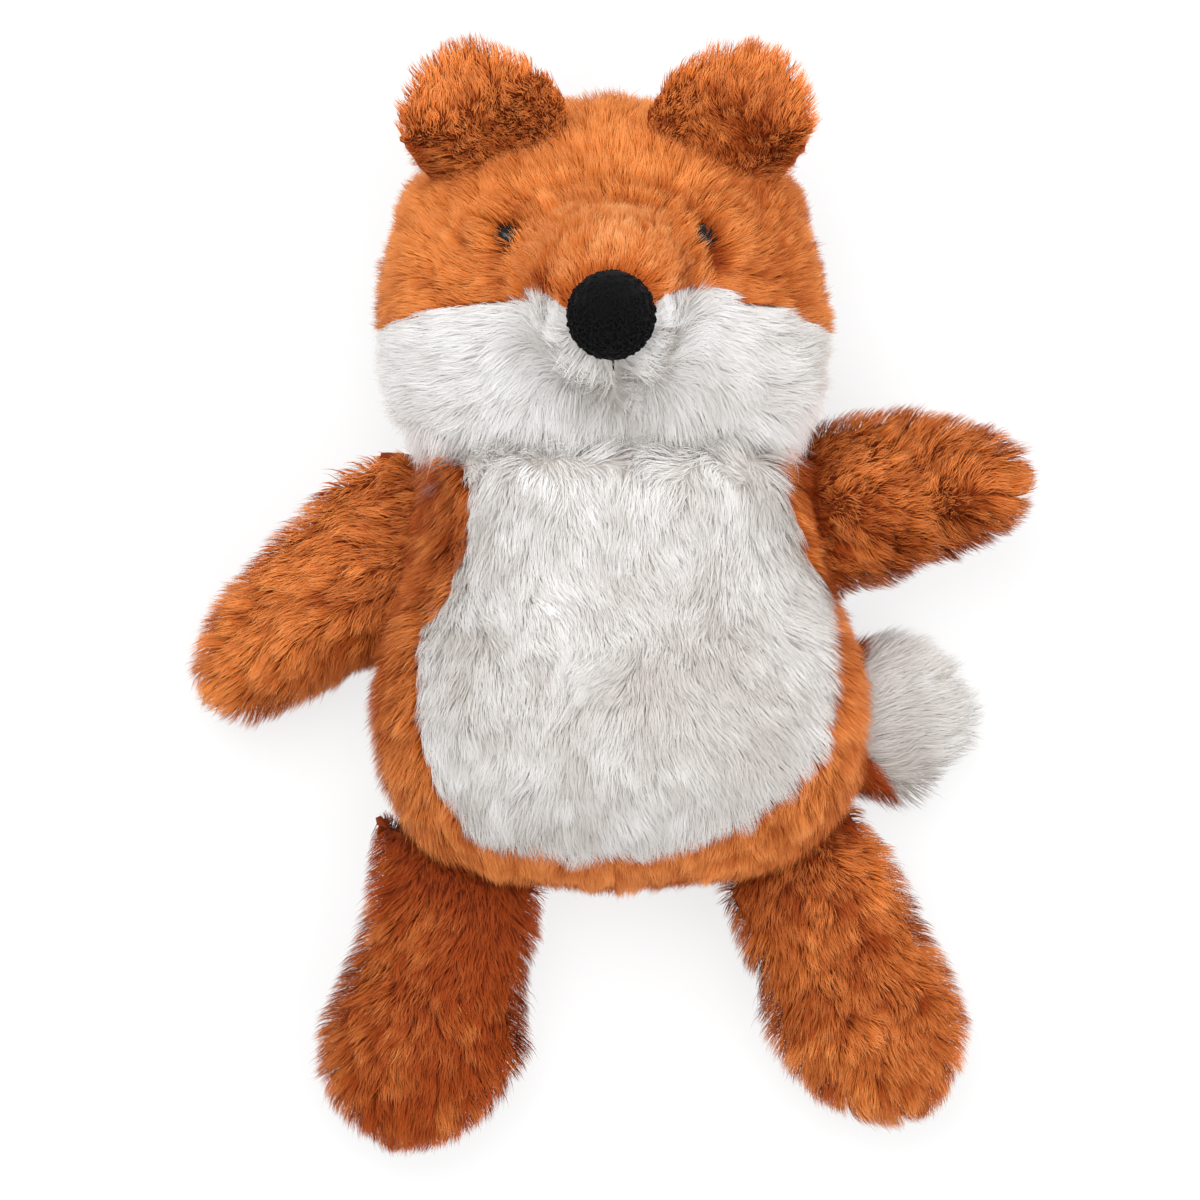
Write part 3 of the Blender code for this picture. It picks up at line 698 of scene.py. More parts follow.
@dataclass
class Pile:
    """The fibres on part of a form, as tapered ribbons in tufts.

    keep is given each fibre's place near its end and its way out of the cloth, because what
    the photograph shows of a border between two colours is where the fibres end.
    """

    form: Form
    hair: Hair
    flow: Flow
    towards: Array
    keep: Test
    seed: int
    shorten: Reading | None = None
    # Painted shade: how much each root's tone drops, and painted light where the drop is below
    # nought
    painted_shading: Reading | None = None
    lean: Reading | None = None

    STEPS = np.array((0.0, 0.36, 0.7, 1.0))
    WIDTHS = np.array((0.9, 1.0, 0.72))
    NEAR_END = 2  # the step at which a fibre's place decides its colour
    FACES_FLOOR = -0.25  # ways out below this are hardly seen
    FLOOR_SHARE = 0.25  # of the fibres, on what faces the floor
    MOST = 39_000  # fibres in one piece
    RIPPLE = (0.35, 0.6)  # length and height of a smaller wave, as shares of the large one's
    DRIFT = 6 * MM  # the size of the patches over which length and lift differ
    LENGTH_VARIES = (0.1, 0.12)  # from patch to patch, and from fibre to fibre
    LIFT_VARIES = (0.16, 0.14)
    STRAY_LENGTH = 1.15
    RISE = (1.3, -0.3)  # how a fibre rises with its height and that height's square
    RUN = (0.5, 0.5)  # how it runs along the cloth with them
    SIDEWAYS = 0.12  # how far it bows to a side
    PULL_VARIES = (0.5, 1.1)
    PULL_POWER = 1.4  # tufts close mostly towards their tips
    BESIDE = 0.4  # how much of their distance the fibres of a tuft keep
    # Painted shade: fibres towards a tuft's edge are darker
    TUFT_EDGE_SHADE = (0.12, 0.4)  # how much darker a tuft's edge is, and the distance with no change
    WIDTH_VARIES = (0.7, 1.25)
    TWIST = 0.8  # the most that a ribbon turns about itself, in radians
    SOFTNESS = 0.88  # how far a fibre is lit as the pile's surface is
    TONE_PATCH = 9 * MM
    TONE_ENDS = (0.02, 0.98)
    MAP_MARGIN = 0.01

    @property
    def density(self) -> float:
        """The fibres on a square millimetre."""
        return self.hair.per_mm2 * 1.0

    def roots(self, rng: Random) -> tuple[Array, Array]:
        """Draws where the fibres grow, and gives these places and their ways out."""
        triangles, normals = self.form.triangles, self.form.normals
        a, b, c = (self.form.points[triangles[:, i]] for i in range(3))
        area = np.linalg.norm(np.cross(b - a, c - a), axis=1) / 2
        facing = normals[triangles].mean(axis=1)[:, 2]
        share = area * np.where(facing < self.FACES_FLOOR, self.FLOOR_SHARE, 1.0)
        count = int(share.sum() / MM**2 * self.density)
        chosen = np.searchsorted(np.cumsum(share) / share.sum(), rng.random(count))
        chosen = np.minimum(chosen, len(triangles) - 1)
        u, v = rng.random(count), rng.random(count)
        over = u + v > 1
        u, v = np.where(over, 1 - u, u), np.where(over, 1 - v, v)
        weights = np.column_stack((1 - u - v, u, v))[:, :, None]
        place = (self.form.points[triangles[chosen]] * weights).sum(axis=1)
        return place, unit((normals[triangles[chosen]] * weights).sum(axis=1))

    def combed(self, place: Array, out: Array, rng: Random) -> Array:
        """Gives each fibre's direction along the cloth."""
        if self.flow is Flow.ALONG:
            way = np.broadcast_to(np.asarray(self.towards, float), place.shape)
        else:
            way = unit(place - np.asarray(self.towards, float))
        if self.lean:
            way = way + self.lean(place)
        way = unit(way - out * dots(way, out))
        length, height = self.RIPPLE
        wave = Unevenness(self.hair.wave, self.seed).at(place)
        ripple = Unevenness(self.hair.wave * length, self.seed + 1).at(place)
        angles = math.radians(self.hair.wave_deg) * (wave + height * ripple)
        angles += rng.normal(0, math.radians(self.hair.loose_deg), len(place))
        return turned(way, out, angles)

    def paths(self, place: Array, out: Array, way: Array, rng: Random) -> Array:
        """Bends each fibre from its root along its direction.

        Args:
            place: the roots.
            out: the ways out of the cloth.
            way: the directions along the cloth.
            rng: the pile's own random numbers.

        Returns:
            For each fibre, its places at STEPS.
        """
        count = len(place)
        drift = Unevenness(self.DRIFT, self.seed + 2).at(place)
        length, lift = self.hair.length, math.radians(self.hair.lift_deg)
        patch, single = self.LENGTH_VARIES
        length = length * (1 + patch * drift + rng.normal(0, single, count))
        patch, single = self.LIFT_VARIES
        lift = lift * (1 + patch * drift + rng.normal(0, single, count))
        stray = rng.random(count) < self.hair.stray_share
        length = np.where(stray, length * self.STRAY_LENGTH, length)
        if self.shorten:
            length = length * self.shorten(place)
        rise = (np.sin(lift) * length)[:, None, None] * out[:, None, :]
        run = (np.cos(lift) * length)[:, None, None] * way[:, None, :]
        side = (rng.normal(0, self.SIDEWAYS, count) * length)[:, None] * np.cross(out, way)
        t = self.STEPS[None, :, None]
        up, along = (first * t + second * t**2 for first, second in (self.RISE, self.RUN))
        path = place[:, None, :] + rise * up + run * along
        return path + side[:, None, :] * (t - t**2) * 2

    def tufted(self, path: Array, rng: Random) -> tuple[Array, Array]:
        """Draws neighbouring fibres together towards their tips.

        Args:
            path: each fibre's places.
            rng: the pile's own random numbers.

        Returns:
            The moved places, and how much lighter each fibre is: its tuft's random tone, less
            painted shade towards the tuft's edge.
        """
        count = len(path)
        leaders = max(1, int(count / ((self.hair.tuft / MM) ** 2 * self.density)))
        leaders = rng.choice(count, leaders, replace=False)
        tree = kdtree.KDTree(len(leaders))
        for i, leader in enumerate(leaders):
            tree.insert(path[leader, 0], i)
        tree.balance()
        found = [tree.find(spot)[1:] for spot in path[:, 0].tolist()]
        index = np.array([one[0] for one in found])
        off = np.array([one[1] for one in found]) / self.hair.tuft
        nearest = leaders[index]
        pull = self.hair.pull * rng.uniform(*self.PULL_VARIES, count)[:, None, None]
        pull = pull * (self.STEPS**self.PULL_POWER)[None, :, None]
        beside = self.BESIDE * (path[:, :1] - path[nearest, :1])
        darker, middle = self.TUFT_EDGE_SHADE
        # The tuft's random tone, less painted shade towards its edge
        lighter = rng.normal(0, self.hair.streaks, len(leaders))[index] - darker * (off - middle)
        return path * (1 - pull) + (path[nearest] + beside) * pull, lighter

    def grow(self, name: str, finish: bpy.types.Material) -> bpy.types.Object:
        """Makes the pile's object, of some plush."""
        rng = np.random.default_rng((SEED, self.seed))
        place, out = self.roots(rng)
        path = self.paths(place, out, self.combed(place, out, rng), rng)
        kept = np.flatnonzero(self.keep(path[:, self.NEAR_END], out))[: self.MOST]
        out, path = out[kept], path[kept]
        path, lighter = self.tufted(path, rng)
        low = FLOOR_CLEARANCE * (1 + rng.random(path.shape[:2]))
        path[:, :, 2] = np.maximum(path[:, :, 2], low)
        return self.ribbons(path, out, lighter, rng).object(name, finish)

    def ribbons(self, path: Array, out: Array, lighter: Array, rng: Random) -> Surface:
        """Turns paths to flat tapered strips that mostly face out.

        Args:
            path: each fibre's places.
            out: the ways out of the cloth.
            lighter: how much lighter each fibre is, by its tuft's random tone and painted shade.
            rng: the pile's own random numbers.

        Returns:
            The strips. Across their map runs their tone, up it their height.
        """
        count, steps = path.shape[:2]
        heading = unit(path[:, -1] - path[:, 0])
        across = unit(np.cross(heading, out))
        across = turned(across, heading, rng.uniform(-self.TWIST, self.TWIST, count))
        coarse = 1.0
        half = self.hair.width / 2 * rng.uniform(*self.WIDTH_VARIES, count) * coarse
        half = half * np.where(out[:, 2] < self.FACES_FLOOR, 1 / math.sqrt(self.FLOOR_SHARE), 1)
        half = half[:, None, None] * self.WIDTHS[None, :, None] * across[:, None, :]
        left, right = path[:, :-1] - half, path[:, :-1] + half
        points = np.concatenate((left, right, path[:, -1:]), axis=1)
        flat = unit(np.cross(across, heading))
        lit = unit(flat * (1 - self.SOFTNESS) + out * self.SOFTNESS)
        rows = steps - 1
        pattern = [k for i in range(rows - 1) for k in (i, rows + i, rows + i + 1, i + 1)]
        pattern += [rows - 1, 2 * rows - 1, 2 * rows]
        counts = [4] * (rows - 1) + [3]
        height = np.concatenate((self.STEPS[:-1], self.STEPS))[pattern]
        per = points.shape[1]
        corners = (np.arange(count)[:, None] * per + np.array(pattern)[None, :]).ravel()
        patches = Unevenness(self.TONE_PATCH, self.seed + 3).at(path[:, 0])
        tone = self.hair.tone + self.hair.tone_spread * patches
        tone = tone + rng.normal(0, self.hair.mixed, count) + lighter
        # Painted shade lowers the tone, and painted light raises it
        if self.painted_shading:
            tone = tone - self.painted_shading(path[:, 0])
        uv = np.empty((count, len(pattern), 2))
        uv[:, :, 0] = np.clip(tone, *self.TONE_ENDS)[:, None]
        uv[:, :, 1] = height[None, :] * (1 - 2 * self.MAP_MARGIN) + self.MAP_MARGIN
        points, uv = points.reshape(-1, 3), uv.reshape(-1, 2)
        return Surface(points, corners, np.tile(counts, count), uv, np.repeat(lit, per, axis=0))


@dataclass
class Coat:
    """What the coated forms share: the frame's nodes, its joints and the finishes."""

    nodes: dict[str, bpy.types.Object]
    joints: list[dict]
    palette: Palette

    def solids(self, *names: str) -> list[bpy.types.Object]:
        """Looks up nodes by name."""
        return [self.nodes[name] for name in names]

    def refinished(self, name: str, finish: bpy.types.Material) -> None:
        """Gives a node that keeps its solid's shape its finish."""
        materials = self.nodes[name].data.materials
        materials.clear()
        materials.append(finish)

    def seam_of(self, child: str) -> tuple[Array, Array]:
        """Gives a place on the seam that a limb folds at, and the seam's axis."""
        joint = next(j for j in self.joints if j["child"] == child)
        return np.array(joint["pos_m"], float), unit(np.array(joint["axis"], float))

    def set_down(
        self, piece: bpy.types.Object, body: str, slot: str, stands_for: tuple[str, ...] = ()
    ) -> None:
        """Gives a piece its body and slot, and says which solids it stands for.

        Args:
            piece: the piece.
            body: the body that it rides on.
            slot: the record's material slot; not used.
            stands_for: the nodes that it replaces.
        """
        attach(piece, body)
        if stands_for:
            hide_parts(*stands_for)
        LOG.info("%s on %s, %d faces", piece.name, body, len(piece.data.polygons))


@dataclass
class Torso(Coat):
    """The stuffed body: a white belly set into an orange back that wraps round the flanks."""

    depth: float = 5.0 * MM
    voxel: float = 2.0 * MM
    smoothing: int = 9
    halfway: float = -6.0 * MM
    fray_size: float = 2.2 * MM
    fray_depth: float = 0.9 * MM
    most_sideways: float = 0.93  # the white panel ends where the flank faces more sideways
    # The neck's groove: where it starts, how far it is till the pile leans up fully, and how much
    neck_starts: float = 46 * MM
    neck_reach: float = 9 * MM
    neck_up: float = 0.9
    swirl_size: float = 10 * MM
    swirl: float = 1.7
    ragged_size: float = 7 * MM
    ragged: float = 5 * MM
    seam_reach: Pair = (16 * MM, 30 * MM)  # out from a limb's seam and along it
    seam_lean: float = 2.5
    # The piles' tones hold painted light and shade besides the plush's colour
    belly: Hair = Hair(
        length=9 * MM, lift_deg=34, width=0.17 * MM, tuft=4.4 * MM, wave=22 * MM, wave_deg=46,
        tone=0.55, streaks=0.12, mixed=0.06,
    )
    flank: Hair = Hair(tone=0.78)
    swells: tuple[Swell, ...] = swells_from(
        (850, 745, 30, 3.0, 0, 0),
        (415, 458, 13, -4.0, 9.0, 0),
        (815, 460, 16, 2.5, 3.5, 0),
        (615, 452, 24, 0, 6.0, 10.0),
        (480, 460, 18, 0, 4.0, 8.0),
        (750, 460, 18, 0, 4.0, 8.0),
    )
    # Painted shade beside the arms and where the belly turns away, and painted light in the neck's
    # groove, where the drop is below nought
    shades: tuple[Shade, ...] = shades_from(
        (615, 455, 14, -0.18), (500, 455, 12, -0.2), (440, 470, 12, 0.5), (440, 540, 12, 0.5),
        (420, 600, 10, 0.4), (800, 480, 9, 0.5), (815, 530, 9, 0.55), (838, 580, 8, 0.4),
        (400, 800, 14, 0.15), (690, 640, 22, 0.35), (760, 760, 22, 0.2), (600, 820, 26, 0.15),
    )
    belly_px: Pixels = (
        (436, 380), (434, 453), (455, 475), (471, 509), (468, 551), (452, 582), (440, 613),
        (418, 631), (414, 686), (420, 747), (440, 800), (479, 846), (560, 861), (643, 858),
        (693, 848), (746, 828), (792, 795), (825, 755), (837, 700), (837, 612), (835, 592),
        (819, 566), (802, 529), (790, 496), (786, 463), (790, 380),
    )

    def on_belly(self, place: Array, out: Array) -> Array:
        """Tells which fibres show in the white panel's outline, above its seam."""
        low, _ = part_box("belly_panel")
        fray = [Unevenness(self.fray_size, SEED + i).at(place) for i in (4, 5)]
        frayed = place[:, :2] + self.fray_depth * np.column_stack(fray)
        above = (out[:, 2] > 0) & (np.abs(out[:, 0]) < self.most_sideways) & (place[:, 2] > low.z)
        return above & inside(frayed, in_plan(self.belly_px))

    def backing(self, place: Array, out: Array) -> Array:
        """Tells which cloth is in the white panel, above where its fibres end."""
        return self.on_belly(place + DOWN_THE_BODY * self.depth, out)

    def in_creases(self, place: Array) -> Array:
        """Tells how much darker the pile is painted in the shades: painted shade, and painted light
        where a drop is below nought.
        """
        return shaded(place, self.shades)

    def into_neck(self, place: Array) -> Array:
        """Swirls the top of the pile in the neck's groove, which it fills."""
        swirl = self.swirl * Unevenness(self.swirl_size, SEED + 2).at(place)
        ragged = self.ragged * Unevenness(self.ragged_size, SEED + 3).at(place)
        share = eased((place[:, 1] + ragged - self.neck_starts) / self.neck_reach)
        way = np.column_stack((swirl, np.full(len(place), self.neck_up), np.zeros(len(place))))
        return way * share[:, None]

    def over_seams(self, place: Array) -> Array:
        """Leans the pile out along each limb, so that it hides the limb's seam."""
        total = np.zeros((len(place), 3))
        reach_out, reach_along = self.seam_reach
        for limb in ("arm_left", "arm_right", "leg_left", "leg_right"):
            seam, axis = self.seam_of(limb)
            outward = np.cross(UP, axis)
            off = np.abs(dots(place - seam, outward)[:, 0])
            along = np.abs(dots(place - seam, axis)[:, 0]) / reach_along
            lean = self.seam_lean * near(off, reach_out) * eased(2 - 2 * along)
            total += outward * lean[:, None]
        return total

    def build(self) -> None:
        """Builds the torso's cloth and its piles."""
        names = ("belly_panel", "back_panel", "body_stuffing")
        form = Form(self.solids(*names), self.voxel, self.smoothing)
        form.swell(self.swells)
        form.shrink(self.depth)
        cloth = form.object("torso_cloth", self.palette.orange, self.palette.white, self.backing)
        self.set_down(cloth, "torso", "orange_plush", names)

        def grow(name: str, white: bool, where: Test, seed: int) -> None:
            """Grows a pile on one panel, where a test holds too."""

            def keep(place: Array, out: Array) -> Array:
                """Tells which fibres are in the piece."""
                return (self.on_belly(place, out) == white) & where(place, out)

            hair, lean = (self.belly, self.into_neck) if white else (self.flank, self.over_seams)
            finish = self.palette.white if white else self.palette.orange
            pile = Pile(
                form, hair, Flow.ALONG, DOWN_THE_BODY, keep, seed, painted_shading=self.in_creases, lean=lean
            )
            slot = "white_plush" if white else "orange_plush"
            self.set_down(pile.grow(name, finish), "torso", slot)

        grow("belly_pile_lower", True, lambda place, out: place[:, 1] < self.halfway, 11)
        grow("belly_pile_upper", True, lambda place, out: place[:, 1] >= self.halfway, 11)
        for side, name in ((1, "left"), (-1, "right")):
            for seen, part in ((True, "flank"), (False, "back")):

                def on_side(place: Array, out: Array, side: int = side, seen: bool = seen) -> Array:
                    """Tells which places are in this part of the orange panel."""
                    return (place[:, 0] * side >= 0) & ((out[:, 2] > Pile.FACES_FLOOR) == seen)

                grow(f"{part}_pile_{name}", False, on_side, 14 + side)


@dataclass
class Head(Coat):
    """The head and its muzzle: orange crown, white cheeks, a short pale pile over the snout."""

    depth: float = 5.0 * MM
    snout_depth: float = 3.2 * MM
    voxel: float = 2.0 * MM
    smoothing: int = 9
    swells: tuple[Swell, ...] = swells_from(
        (395, 240, 18, -2.8, 0, 0),
        (820, 230, 18, 1.0, 0, 0),
        (412, 190, 9, -2.4, 3.0, 0),
        (798, 190, 9, 2.4, 3.0, 0),
        (430, 430, 16, -1.0, -2.5, 0),
        (800, 430, 16, 1.0, -2.5, 0),
        (615, 450, 26, 0, -4.5, 2.0),
        (614, 388, 3.5, 0, 0, -1.6),
        (500, 236, 8, 0, 0, 8.8),
        (712, 234, 8, 0, 0, 8.8),
        (520, 335, 12, 0, 0, 4.0),
        (705, 335, 12, 0, 0, 4.0),
        (615, 415, 14, 0, 0, 3.0),
    )
    # Painted shade in places over the crown, the brows, the cheeks and under the muzzle and chin
    shades: tuple[Shade, ...] = shades_from(
        (480, 175, 7, 0.35), (760, 190, 8, 0.3), (420, 285, 10, 0.2), (770, 260, 18, 0.4),
        (690, 190, 7, 0.2), (545, 175, 7, 0.2), (615, 402, 8, 0.2), (700, 395, 12, 0.3),
        (790, 350, 16, 0.25), (640, 440, 14, 0.15),
    )
    # Where orange turns to white, from the fox's right to its left
    cheek_px: Pixels = (
        (330, 338), (376, 334), (395, 322), (437, 309), (503, 303), (526, 288), (551, 299),
        (566, 312), (612, 322), (652, 312), (660, 300), (698, 284), (727, 291), (752, 306),
        (787, 307), (813, 325), (832, 335), (880, 338),
    )
    snout_px: Pixels = (
        (514, 262), (524, 226), (556, 204), (602, 197), (650, 203), (683, 223), (698, 262),
        (696, 330), (520, 330),
    )
    wrap: float = 0.35  # how low the white reaches, as a share of the back panel's height
    # The muzzle's lower half runs out softly into the cheeks round this spot
    soft_px: Pair = (612, 385)
    soft_reach: float = 25.0 * MM
    soft_times: int = 80
    # Its pile is short up to one distance from its root, and as long as the head's past another
    snout_ends: Pair = (16 * MM, 28 * MM)
    snout_flat: Triple = (1, 1, 0.6)
    combed_from: Triple = (0, -2 * MM, -22 * MM)
    # The muzzle's dome in plan: its middle and half sizes. The painted shade round it lies at a
    # share of these sizes, is as wide as another, and has its own depth
    dome_px: Pixels = ((607, 262), (98, 64))
    ring_shade: Triple = (0.99, 0.14, 0.5)
    # The eyes' hollows: their middles and half sizes. The next two start with a share of these, up
    # to which the pile is short, for the first, and painted dark as shadow, for the second, and end
    # with its length and its drop in tone
    hollows_px: Pixels = ((514, 242), (698, 254))
    hollows_mm: Pixels = ((1.9, 1.2), (1.6, 4.4))
    hollow_bare: Pair = (0.7, 0.06)
    hollow_shade: Pair = (1.8, 0.95)
    # Below this place along the body the chin's pile is longer, to reach over the chest
    chin_starts: float = 68 * MM
    chin_reach: float = 6 * MM
    chin_longer: Pair = (0.5, 0.35)  # by this share, and by this much unevenly
    ragged_size: float = 5 * MM
    # Where each begins, how far it reaches, and how strong it is
    droop: Triple = (72 * MM, 10 * MM, 2.0)
    # nose_shade is painted shadow round the nose
    nose_shade: Triple = (10 * MM, 3 * MM, 0.55)
    # The mouth's crease: how far round it the pile is painted darker, as shade, and leans away, and
    # how much
    crease_px: Pixels = ((614, 355), (614, 400))
    crease_shade: Pair = (2.5 * MM, 0.35)
    parting: Pair = (5 * MM, 0.45)
    stitch_px: Pixels = ((613, 350), (613, 373))
    stitch_radius: float = 0.3 * MM
    stitch_rings: int = 6
    stitch_above: float = 2.5 * MM  # over the cloth's highest place within the reach
    stitch_reach: float = 2.5 * MM
    # The piles' tones hold painted light and shade besides the plush's colour
    crown: Hair = Hair(length=7 * MM, lift_deg=54, tone=0.9)
    cheek: Hair = Hair(
        length=9 * MM, lift_deg=36, width=0.17 * MM, tuft=4.4 * MM, wave=20 * MM,
        tone=0.9, streaks=0.12, mixed=0.06,
    )
    short: Hair = Hair(
        length=5 * MM, lift_deg=56, width=0.14 * MM, per_mm2=8, tuft=2 * MM, loose_deg=22, tone=0.4
    )
    under: Hair = Hair(
        length=5.6 * MM, lift_deg=28, width=0.16 * MM, per_mm2=8, tuft=2.6 * MM, pull=0.25,
        wave_deg=24, tone=0.95, streaks=0.06, mixed=0.06,
    )

    def below_line(self, place: Array) -> Array:
        """Tells which places lie on the chin's side of the colour line."""
        line = in_plan(self.cheek_px)
        return place[:, 1] < np.interp(place[:, 0], line[:, 0], line[:, 1])

    def behind(self, place: Array) -> Array:
        """Tells which places are on the back of the head. The white reaches further round."""
        turn = np.where(self.below_line(place), self.wrap * self.middle, self.middle)
        return place[:, 2] < turn

    def on_snout(self, place: Array) -> Array:
        """Tells which places are on the muzzle's short pile."""
        return inside(place, in_plan(self.snout_px)) & (place[:, 2] > self.middle)

    def backing(self, place: Array, out: Array) -> Array:
        """Tells which cloth is white."""
        return self.below_line(place) & ~self.behind(place)

    def from_hollows(self, place: Array) -> Array:
        """Gives the distance from the nearer eye's hollow, in shares of its half size."""
        found = []
        for spot, half in zip(in_plan(self.hollows_px), self.hollows_mm):
            away = (place[:, :2] - spot) / (np.array(half) * MM)
            found.append(np.linalg.norm(away, axis=1))
        return np.where(self.behind(place), np.inf, np.min(found, axis=0))

    def clear_of_eyes(self, place: Array) -> Array:
        """Leaves the eyes' hollows bare, and lets the chin's pile reach over the chest."""
        least, varies = self.chin_longer
        ragged = least + varies * Unevenness(self.ragged_size, SEED).at(place)
        chin = 1 + ragged * eased((self.chin_starts - place[:, 1]) / self.chin_reach)
        start, left = self.hollow_bare
        return chin * (left + (1 - left) * eased(self.from_hollows(place) - start))

    def in_hollows(self, place: Array) -> Array:
        """Paints shade on the pile in the eyes' hollows, round the dome and the nose, in the crease
        and in the shades; in the hollows the dark also stands in for the beads.
        """
        end, dark = self.hollow_shade
        eyes = dark * eased(end - self.from_hollows(place))
        middle, half = in_plan(self.dome_px[:1])[0], np.array(self.dome_px[1]) * PIXEL
        out = np.linalg.norm((place[:, :2] - middle) / half, axis=1)
        start, reach, dark = self.ring_shade
        ring = dark * near(np.abs(out - start), reach)
        off = np.linalg.norm(place[:, :2] - self.nose[:2], axis=1)
        start, reach, dark = self.nose_shade
        nose = dark * near(off - start, reach)
        deep = np.max((eyes, ring, nose), axis=0) * ~self.below_line(place)
        reach, dark = self.crease_shade
        mouth = dark * near(np.linalg.norm(self.from_crease(place), axis=1), reach)
        return np.maximum(deep, mouth) + shaded(place, self.shades)

    def from_crease(self, place: Array) -> Array:
        """Gives the way in plan from the nearest place of the mouth's crease."""
        (x, high), (_, low) = in_plan(self.crease_px)
        nearest = np.clip(place[:, 1], low, high)
        return np.column_stack((place[:, 0] - x, place[:, 1] - nearest))

    def parted(self, place: Array) -> Array:
        """Leans the pile away from both sides of the mouth's crease, and down at the chin."""
        away = self.from_crease(place)
        reach, most = self.parting
        strength = most * near(np.linalg.norm(away, axis=1), reach)
        start, reach, most = self.droop
        chin = most * eased((start - place[:, 1]) / reach)[:, None] * DOWN_THE_BODY
        return np.column_stack((unit(away) * strength[:, None], np.zeros(len(place)))) + chin

    def build(self) -> None:
        """Builds the head's cloth, its piles and the stitch under the nose."""
        _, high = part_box("head_back_panel")
        self.middle = high.z
        low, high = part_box("nose")
        self.nose = np.array((low + high) / 2)
        panels = ("head_crown_panel", "head_cheek_panel", "head_back_panel", "head_stuffing")
        snout = ("snout_top_panel", "snout_under_panel", "snout_stuffing")
        form = Form(self.solids(*panels, *snout), self.voxel, self.smoothing)
        low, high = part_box("snout_top_panel")
        root = np.array(((low.x + high.x) / 2, low.y, high.z))
        away = np.linalg.norm((form.points - root) * self.snout_flat, axis=1)
        start, end = self.snout_ends
        share = np.clip((away - start) / (end - start), 0, 1)
        form.swell(self.swells)
        soft = fading(form.points, self.soft_px, self.soft_reach) * self.below_line(form.points)
        form.even(self.soft_times, 0.5 * (soft * ~self.behind(form.points))[:, None])
        form.shrink(self.snout_depth + (self.depth - self.snout_depth) * share)
        cloth = form.object("head_cloth", self.palette.orange, self.palette.white, self.backing)
        self.set_down(cloth, "head", "orange_plush", panels + snout)
        self.grow_all(form, root + self.combed_from)
        self.stitch(form)

    def grow_all(self, form: Form, centre: Array) -> None:
        """Grows each panel's pile, combed away from the muzzle.

        Args:
            form: the head's cloth.
            centre: the point inside the muzzle that all fibres lead away from.
        """
        orange, pale, white = self.palette.orange, self.palette.pale, self.palette.white

        def on_face(snout: bool, below: bool) -> Test:
            """Makes the test for fibres on the snout or not, and below the colour line or not."""

            def keep(place: Array, out: Array) -> Array:
                """Tells which fibres are in the piece."""
                here = ~self.behind(place) & (self.on_snout(place) == snout)
                return here & (self.below_line(place) == below)

            return keep

        plans = (
            ("crown_pile", self.crown, orange, "orange_plush", on_face(False, False)),
            ("cheek_pile", self.cheek, white, "white_plush", on_face(False, True)),
            ("head_back_pile", Hair(), orange, "orange_plush", lambda place, _: self.behind(place)),
            ("snout_top_pile", self.short, pale, "pale_orange_plush", on_face(True, False)),
            ("snout_under_pile", self.under, white, "white_plush", on_face(True, True)),
        )
        readings = (self.clear_of_eyes, self.in_hollows, self.parted)
        for i, (name, hair, finish, slot, keep) in enumerate(plans):
            pile = Pile(form, hair, Flow.AWAY, centre, keep, 30 + 5 * i, *readings)
            self.set_down(pile.grow(name, finish), "head", slot)

    def stitch(self, form: Form) -> None:
        """Lays the short black stitch from the nose down into the crease."""
        rings, sides = self.stitch_rings, 6
        (x, high), (_, low) = in_plan(self.stitch_px)
        y = np.linspace(high, low, rings)
        tops = [form.top_at(np.array((x, one)), self.stitch_reach) for one in y]
        z = np.array(tops) + self.stitch_above
        middle = np.column_stack((np.full(rings, x), y, z))[None]
        ways = (np.broadcast_to(way, middle.shape) for way in ((1.0, 0.0, 0.0), UP))
        points, quads = tube(middle, *ways, self.stitch_radius, sides)
        first, last = np.arange(sides)[::-1], (rings - 1) * sides + np.arange(sides)
        corners = np.concatenate((quads.ravel(), first, last))
        counts = np.concatenate((np.full(len(quads), 4), (sides, sides)))
        piece = Surface(points, corners, counts).object("mouth_stitch", self.palette.yarn)
        self.set_down(piece, "head", "black_knitted_yarn")


